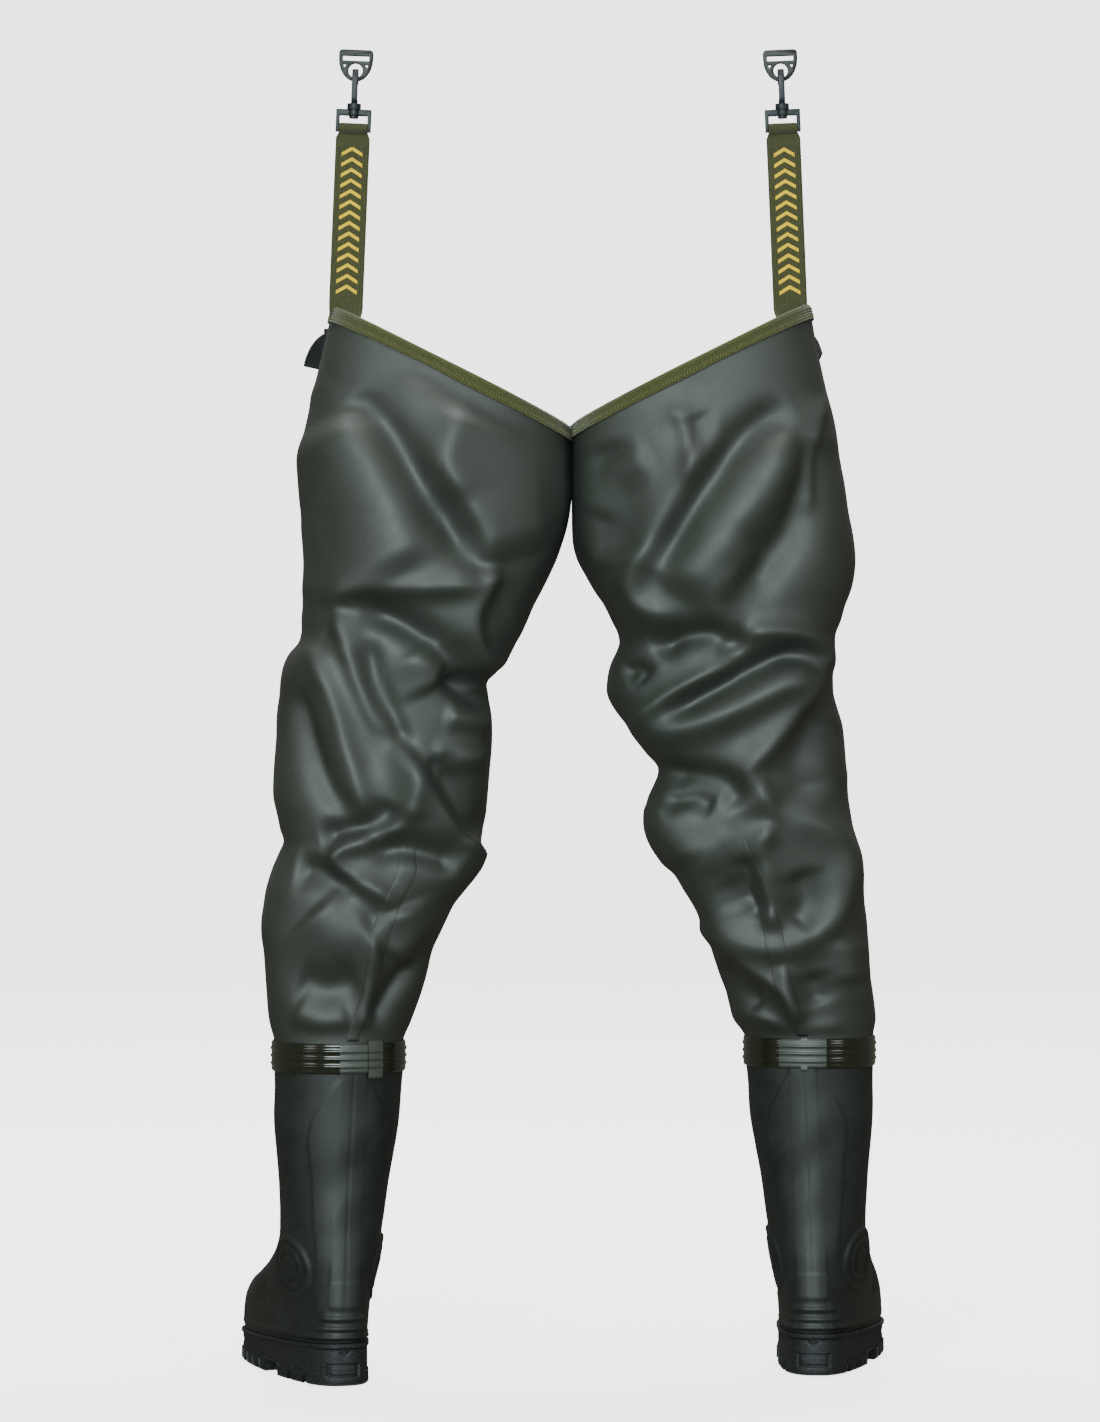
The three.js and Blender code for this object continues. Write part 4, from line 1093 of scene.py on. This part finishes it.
class BuildBands(bpy.types.Operator):
    """The glossy weld bands, their matt laps and the legs' back seams"""
    bl_idname = "waders.bands"
    bl_label = "Weld bands"

    # Matt pieces as (from, to) in degrees from straight back towards -X, low and high edge.
    LAPS = {
        "left": [(3.5, 27.2, 277.6, 303.4), (28.2, 42.2, 272.5, 306.5)],
        "right": [(-29.2, 11.8, 277.6, 303.4), (-10, -4.5, 274.5, 305.0)],
    }

    def execute(self, context):
        sizes = context.scene.wader_boot
        for name in WADERS:
            stance = STANCE[name]
            angles = np.linspace(0, 2 * math.pi, 224, endpoint=False)
            grid = band_ring(stance, angles, 0.0, sizes.band_low, sizes.band_high, True)
            band = made(name + "_band", grid.reshape(-1, 3), skin(len(grid), 224, closed_rows=True),
                        MATERIALS["band"])
            ride(band, name + "_wader", "band_pvc", name + "_weld_band")
            for i, (start, end, low, high) in enumerate(self.LAPS[name]):
                arc = np.radians(90 + np.linspace(start, end, 40))
                lap_grid = band_ring(stance, arc, 0.55 + 0.5 * i, low, high, False)
                faces = skin(len(lap_grid), 40, closed_rows=True, closed_columns=False)
                n = len(lap_grid)
                faces += [tuple(r * 40 for r in range(n)), tuple(r * 40 + 39 for r in range(n))[::-1]]
                lap = made(f"{name}_band_lap_{i + 1}", lap_grid.reshape(-1, 3), faces, MATERIALS["patch"])
                soften_shading(lap, 50)
                ride(lap, name + "_wader", "seam_pvc", *([name + "_band_patch"] if i == 0 else []))
            self.seam(name, stance, context.scene.wader_leg)
        return {"FINISHED"}

    @staticmethod
    def seam(name, stance, sizes):
        """The welded tape over the leg's back seam, lying on the folds."""
        grid = leg_grid(stance, name, sizes)
        columns, width = grid.shape[1], 8
        start = round((90 + stance["toe_out"]) / 360 * columns) - width // 2
        picks = [(start + i) % columns for i in range(width)]
        rows = slice(5, int(len(grid) * 0.36))
        on, out = grid[rows][:, picks], outward(grid)[rows][:, picks]
        edge = np.array([-0.3, 0.25] + [0.55] * (width - 4) + [0.25, -0.3])
        sunk = smooth((np.arange(len(on))[::-1]) / 12)[:, None]
        outside = on + out * (edge[None, :] * sunk - 0.3 * (1 - sunk))[..., None]
        inside = on - out * 0.8
        both = np.concatenate([outside, inside[:, ::-1]], axis=1)
        faces = skin(len(both), 2 * width, caps=True)
        seam = made(name + "_leg_seam", both.reshape(-1, 3), faces, MATERIALS["leg"])
        ride(seam, name + "_wader", "seam_pvc", name + "_back_seam")


def joint_frame(name):
    """The suspension strap's frame: the strap bar's place, and its level, forward and upward directions."""
    bar = np.array(JOINTS[name + "_frame_tilt"]["pos_m"]) * 1000
    fold = np.array(JOINTS[name + "_strap_fold"]["pos_m"]) * 1000
    up = (bar - fold) / np.linalg.norm(bar - fold)
    back = np.array([0.0, 1.0, 0.0])
    across = np.cross(back, up)
    return bar, fold, across / np.linalg.norm(across), back, up


class BuildStraps(bpy.types.Operator):
    """Elastic suspension straps, from inside the leg up round the frame's bar, with their stitches"""
    bl_idname = "waders.straps"
    bl_label = "Suspension straps"

    ANCHOR_ANGLE, ANCHOR_HEIGHT = math.radians(38), 908.0  # where the lower end is sewn inside the leg
    NEAR_BAR, DRAWN_IN = 7.5, 4.9  # the strap is narrower where it passes through the frame

    def execute(self, context):
        sizes = context.scene.wader_strap
        for name in WADERS:
            bar, fold, across, back, up = joint_frame(name)
            foot = fold + up * 2
            path, acrosses, outs = self.sewn_end(STANCE[name], foot, across, up)
            for t in np.linspace(0, 1, 40)[1:]:
                path.append(mix(foot, bar - up * 9, t))
                acrosses.append(across)
                outs.append(-np.cross(across, up))
            radius = 2.2 + 0.5 + sizes.thickness / 2
            for rad in np.radians(np.linspace(-120, 150, 26)):
                path.append(bar + back * radius * math.cos(rad) + up * radius * math.sin(rad))
                acrosses.append(across)
                outs.append(back * math.cos(rad) + up * math.sin(rad))
            for drop in (6, 12, 20, 26):
                path.append(bar - back * (1.35 + sizes.thickness / 2 - 0.3) - up * drop)
                acrosses.append(across)
                outs.append(-back)
            path, acrosses = np.array(path), np.array(acrosses)
            outs = np.array([o / np.linalg.norm(o) for o in outs])
            for i in range(1, len(outs)):  # each faces the same way as the one before it
                if np.dot(outs[i], outs[i - 1]) < 0:
                    outs[i] = -outs[i]
            if outs[40] @ back < 0:
                outs = -outs
            near = np.linalg.norm(path - bar, axis=1) < self.NEAR_BAR
            waist = np.where(near, sizes.width - self.DRAWN_IN, sizes.width)
            strap = self.tapered(name + "_strap", path, acrosses, outs, waist, sizes.thickness)
            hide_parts(name + "_suspension_strap", name + "_strap_anchor")
            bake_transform(strap)
            self.tack(name, bar, across, back, up, sizes)
        return {"FINISHED"}

    def sewn_end(self, stance, foot, across, up):
        """The lower end: flat against the leg's wall, then twisting to the strap's own plane."""
        height = np.array([self.ANCHOR_HEIGHT])
        low_wall = leg_base(stance, np.array([self.ANCHOR_ANGLE]), height, -4.2)[0]
        behind, ahead = (leg_base(stance, np.array([self.ANCHOR_ANGLE + turn]), height)[0]
                         for turn in (-0.03, 0.03))
        tangent = ahead - behind
        tangent[2] = 0
        tangent /= np.linalg.norm(tangent)
        if np.dot(tangent, across) < 0:
            tangent = -tangent
        path, acrosses, outs = [], [], []
        for t in np.linspace(0, 1, 26):
            place = mix(low_wall, foot, t)
            place[:2] = mix(low_wall[:2], foot[:2], smooth(t * 1.05))
            wide = mix(tangent, across, smooth((t - 0.45) / 0.55))
            wide /= np.linalg.norm(wide)
            path.append(place)
            acrosses.append(wide)
            outs.append(np.cross(up, wide))
        return path, acrosses, outs

    @staticmethod
    def tapered(name, path, acrosses, outs, waist, thickness):
        half, deep = waist / 2, thickness / 2
        columns = 15
        share = [(i / (columns - 1)) * 2 - 1 for i in range(columns)]
        profile = [(x, 1) for x in share] + [(1.02, 0)] + [(x, -1) for x in share[::-1]] + [(-1.02, 0)]
        grid = np.array([[p + a * x * h + o * y * deep * (1 - 0.25 * abs(x) ** 12) for x, y in profile]
                         for p, a, o, h in zip(path, acrosses, outs, half)])
        run = np.concatenate([[0], np.cumsum(np.linalg.norm(np.diff(path, axis=0), axis=1))])
        uvs = [((x + 1) / 2 + (0 if y >= 0 else 2), s) for s in run for x, y in profile]
        return made(name, grid.reshape(-1, 3), skin(len(grid), len(profile), caps=True),
                    MATERIALS["strap"], uvs=uvs)

    @staticmethod
    def tack(name, bar, across, back, up, sizes):
        """A box of stitches where the strap's end is sewn down."""
        points, along = [], []
        for drop in (17, 24):
            for x in np.linspace(-11.5, 11.5, 9):
                points.append(bar - up * drop + across * x + back * (sizes.thickness / 2 + 0.05))
                along.append(across)
        for x in (-11.5, 11.5):
            for drop in np.linspace(18.5, 22.5, 3):
                points.append(bar - up * drop + across * x + back * (sizes.thickness / 2 + 0.05))
                along.append(up)
        sewn = stitches(name + "_strap_tack", points, along, [back] * len(points), 2.3, 0.6,
                        MATERIALS["dark_thread"])
        ride(sewn, name + "_strap", "elastic_webbing")


class BuildHardware(bpy.types.Operator):
    """Frames, swivel hooks, gates, belt loops and ladder locks"""
    bl_idname = "waders.hardware"
    bl_label = "Hardware"

    PARTS = (
        ("frame_moulding", "strap_frame", "frame", "acetal", "hook_acetal", 0.6, 0.35),
        ("hook", "swivel_hook", "hook", "acetal", "hook_acetal", 0.7, 0.2),
        ("gate", "hook_gate", "gate", "acetal", "hook_acetal", 0.4, 0.0),
        ("belt_ring", "belt_loop", "loop", "loop", "loop_nylon", 0.7, 0.35),
        ("lock", "ladder_lock", "lock", "loop", "loop_nylon", 0.6, 0.0),
    )

    def execute(self, context):
        for name in WADERS:
            for piece, part, body, material, slot, edge, swell in self.PARTS:
                obj = softened(f"{name}_{piece}", f"{name}_{part}", edge, MATERIALS[material], swell)
                ride(obj, f"{name}_{body}", slot, f"{name}_{part}")
        return {"FINISHED"}


class BuildThighStraps(bpy.types.Operator):
    """Black webbing sewn to the outside of each leg, and the loose tail through its ladder lock"""
    bl_idname = "waders.thigh_straps"
    bl_label = "Thigh straps"

    def execute(self, context):
        leg, sizes = context.scene.wader_leg, context.scene.wader_strap
        for name in WADERS:
            stance = STANCE[name]
            angles = np.radians(np.linspace(-84, -38, 40))
            rim = rim_at(stance, angles, leg)
            middle = leg_base(stance, angles, rim - leg.tape_width - 2 - sizes.webbing / 2, 2.4)
            out = leg_out(stance, angles, rim)
            ahead = np.gradient(middle, axis=0)
            wide = np.cross(out, ahead)
            wide /= np.linalg.norm(wide, axis=1, keepdims=True)
            strip = ribbon(name + "_thigh_webbing", middle, wide, out, sizes.webbing, 1.6,
                           MATERIALS["webbing"])
            ride(strip, name + "_wader", "black_webbing", name + "_thigh_strap")
            self.tail(name, sizes)
        return {"FINISHED"}

    @staticmethod
    def tail(name, sizes):
        """The free end, on its way out of the lock and down."""
        side = STANCE[name]["side"]
        lock_low, lock_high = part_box(name + "_ladder_lock")
        hinge = np.array(JOINTS[name + "_lock_swing"]["pos_m"]) * 1000
        lock = np.array([(a + b) / 2 for a, b in zip(lock_low, lock_high)]) * 1000
        ahead = lock - hinge
        ahead[2] = 0
        ahead /= np.linalg.norm(ahead)
        out = np.cross(ahead, (0, 0, 1)) * side
        start = lock + ahead * 2.5
        if side > 0:
            route = [(0, 0, 0), (6, 0.4, -1.5), (12, 1.6, -6), (16, 3.6, -14), (17.5, 5.2, -24)]
        else:
            route = [(0, 0, 0), (6, 0.2, -1.5), (12, 0.0, -5), (18, -0.6, -10), (24, -1.5, -17)]
        points = rounded_path([start + ahead * a + out * o + np.array([0, 0, u]) for a, o, u in route], 10)
        direction = np.gradient(points, axis=0)
        direction /= np.linalg.norm(direction, axis=1, keepdims=True)
        wide = np.tile([0.0, 0.0, 1.0], (len(points), 1))
        face = np.cross(direction, wide)
        face /= np.linalg.norm(face, axis=1, keepdims=True)
        wide = np.cross(face, direction)
        tail = ribbon(name + "_webbing_tail", points, wide, face, sizes.webbing, 1.6, MATERIALS["webbing"])
        ride(tail, name + "_lock", "black_webbing", name + "_strap_tail")


class FinishInsides(bpy.types.Operator):
    """Knit linings and felt insoles take their cloth on the frame's own solids"""
    bl_idname = "waders.insides"
    bl_label = "Linings and insoles"

    def execute(self, context):
        for name in WADERS:
            for part, key in (("boot_lining", "lining"), ("insole", "felt")):
                mesh = frame["nodes"][f"{name}_{part}"].data
                mesh.materials.clear()
                mesh.materials.append(MATERIALS[key])
        return {"FINISHED"}


class WaderPanel(bpy.types.Panel):
    """Sizes, colours and builders of the waders"""
    bl_idname = "VIEW3D_PT_waders"
    bl_label = "Thigh waders"
    bl_space_type = "VIEW_3D"
    bl_region_type = "UI"
    bl_category = "Waders"

    def draw(self, context):
        for group in GROUPS:
            settings = getattr(context.scene, GROUPS[group])
            for key in group.__annotations__:
                self.layout.prop(settings, key)
        for operator in OPERATORS:
            self.layout.operator(operator.bl_idname)


GROUPS = {WaderLeg: "wader_leg", WaderStrap: "wader_strap", WaderBoot: "wader_boot",
          WaderFinish: "wader_finish"}
OPERATORS = (BuildStage, BuildLegs, BuildBindings, BuildBoots, BuildBands, BuildStraps, BuildHardware,
             BuildThighStraps, FinishInsides)


def register():
    for cls in (*GROUPS, *OPERATORS, WaderPanel):
        bpy.utils.register_class(cls)
    for group, key in GROUPS.items():
        setattr(bpy.types.Scene, key, bpy.props.PointerProperty(type=group))


def unregister():
    for key in GROUPS.values():
        delattr(bpy.types.Scene, key)
    for cls in reversed((*GROUPS, *OPERATORS, WaderPanel)):
        bpy.utils.unregister_class(cls)


def main():
    register()
    materials(bpy.context.scene.wader_finish)
    for operator in OPERATORS:
        family, action = operator.bl_idname.split(".")
        getattr(getattr(bpy.ops, family), action)()


if __name__ == "__main__":
    main()
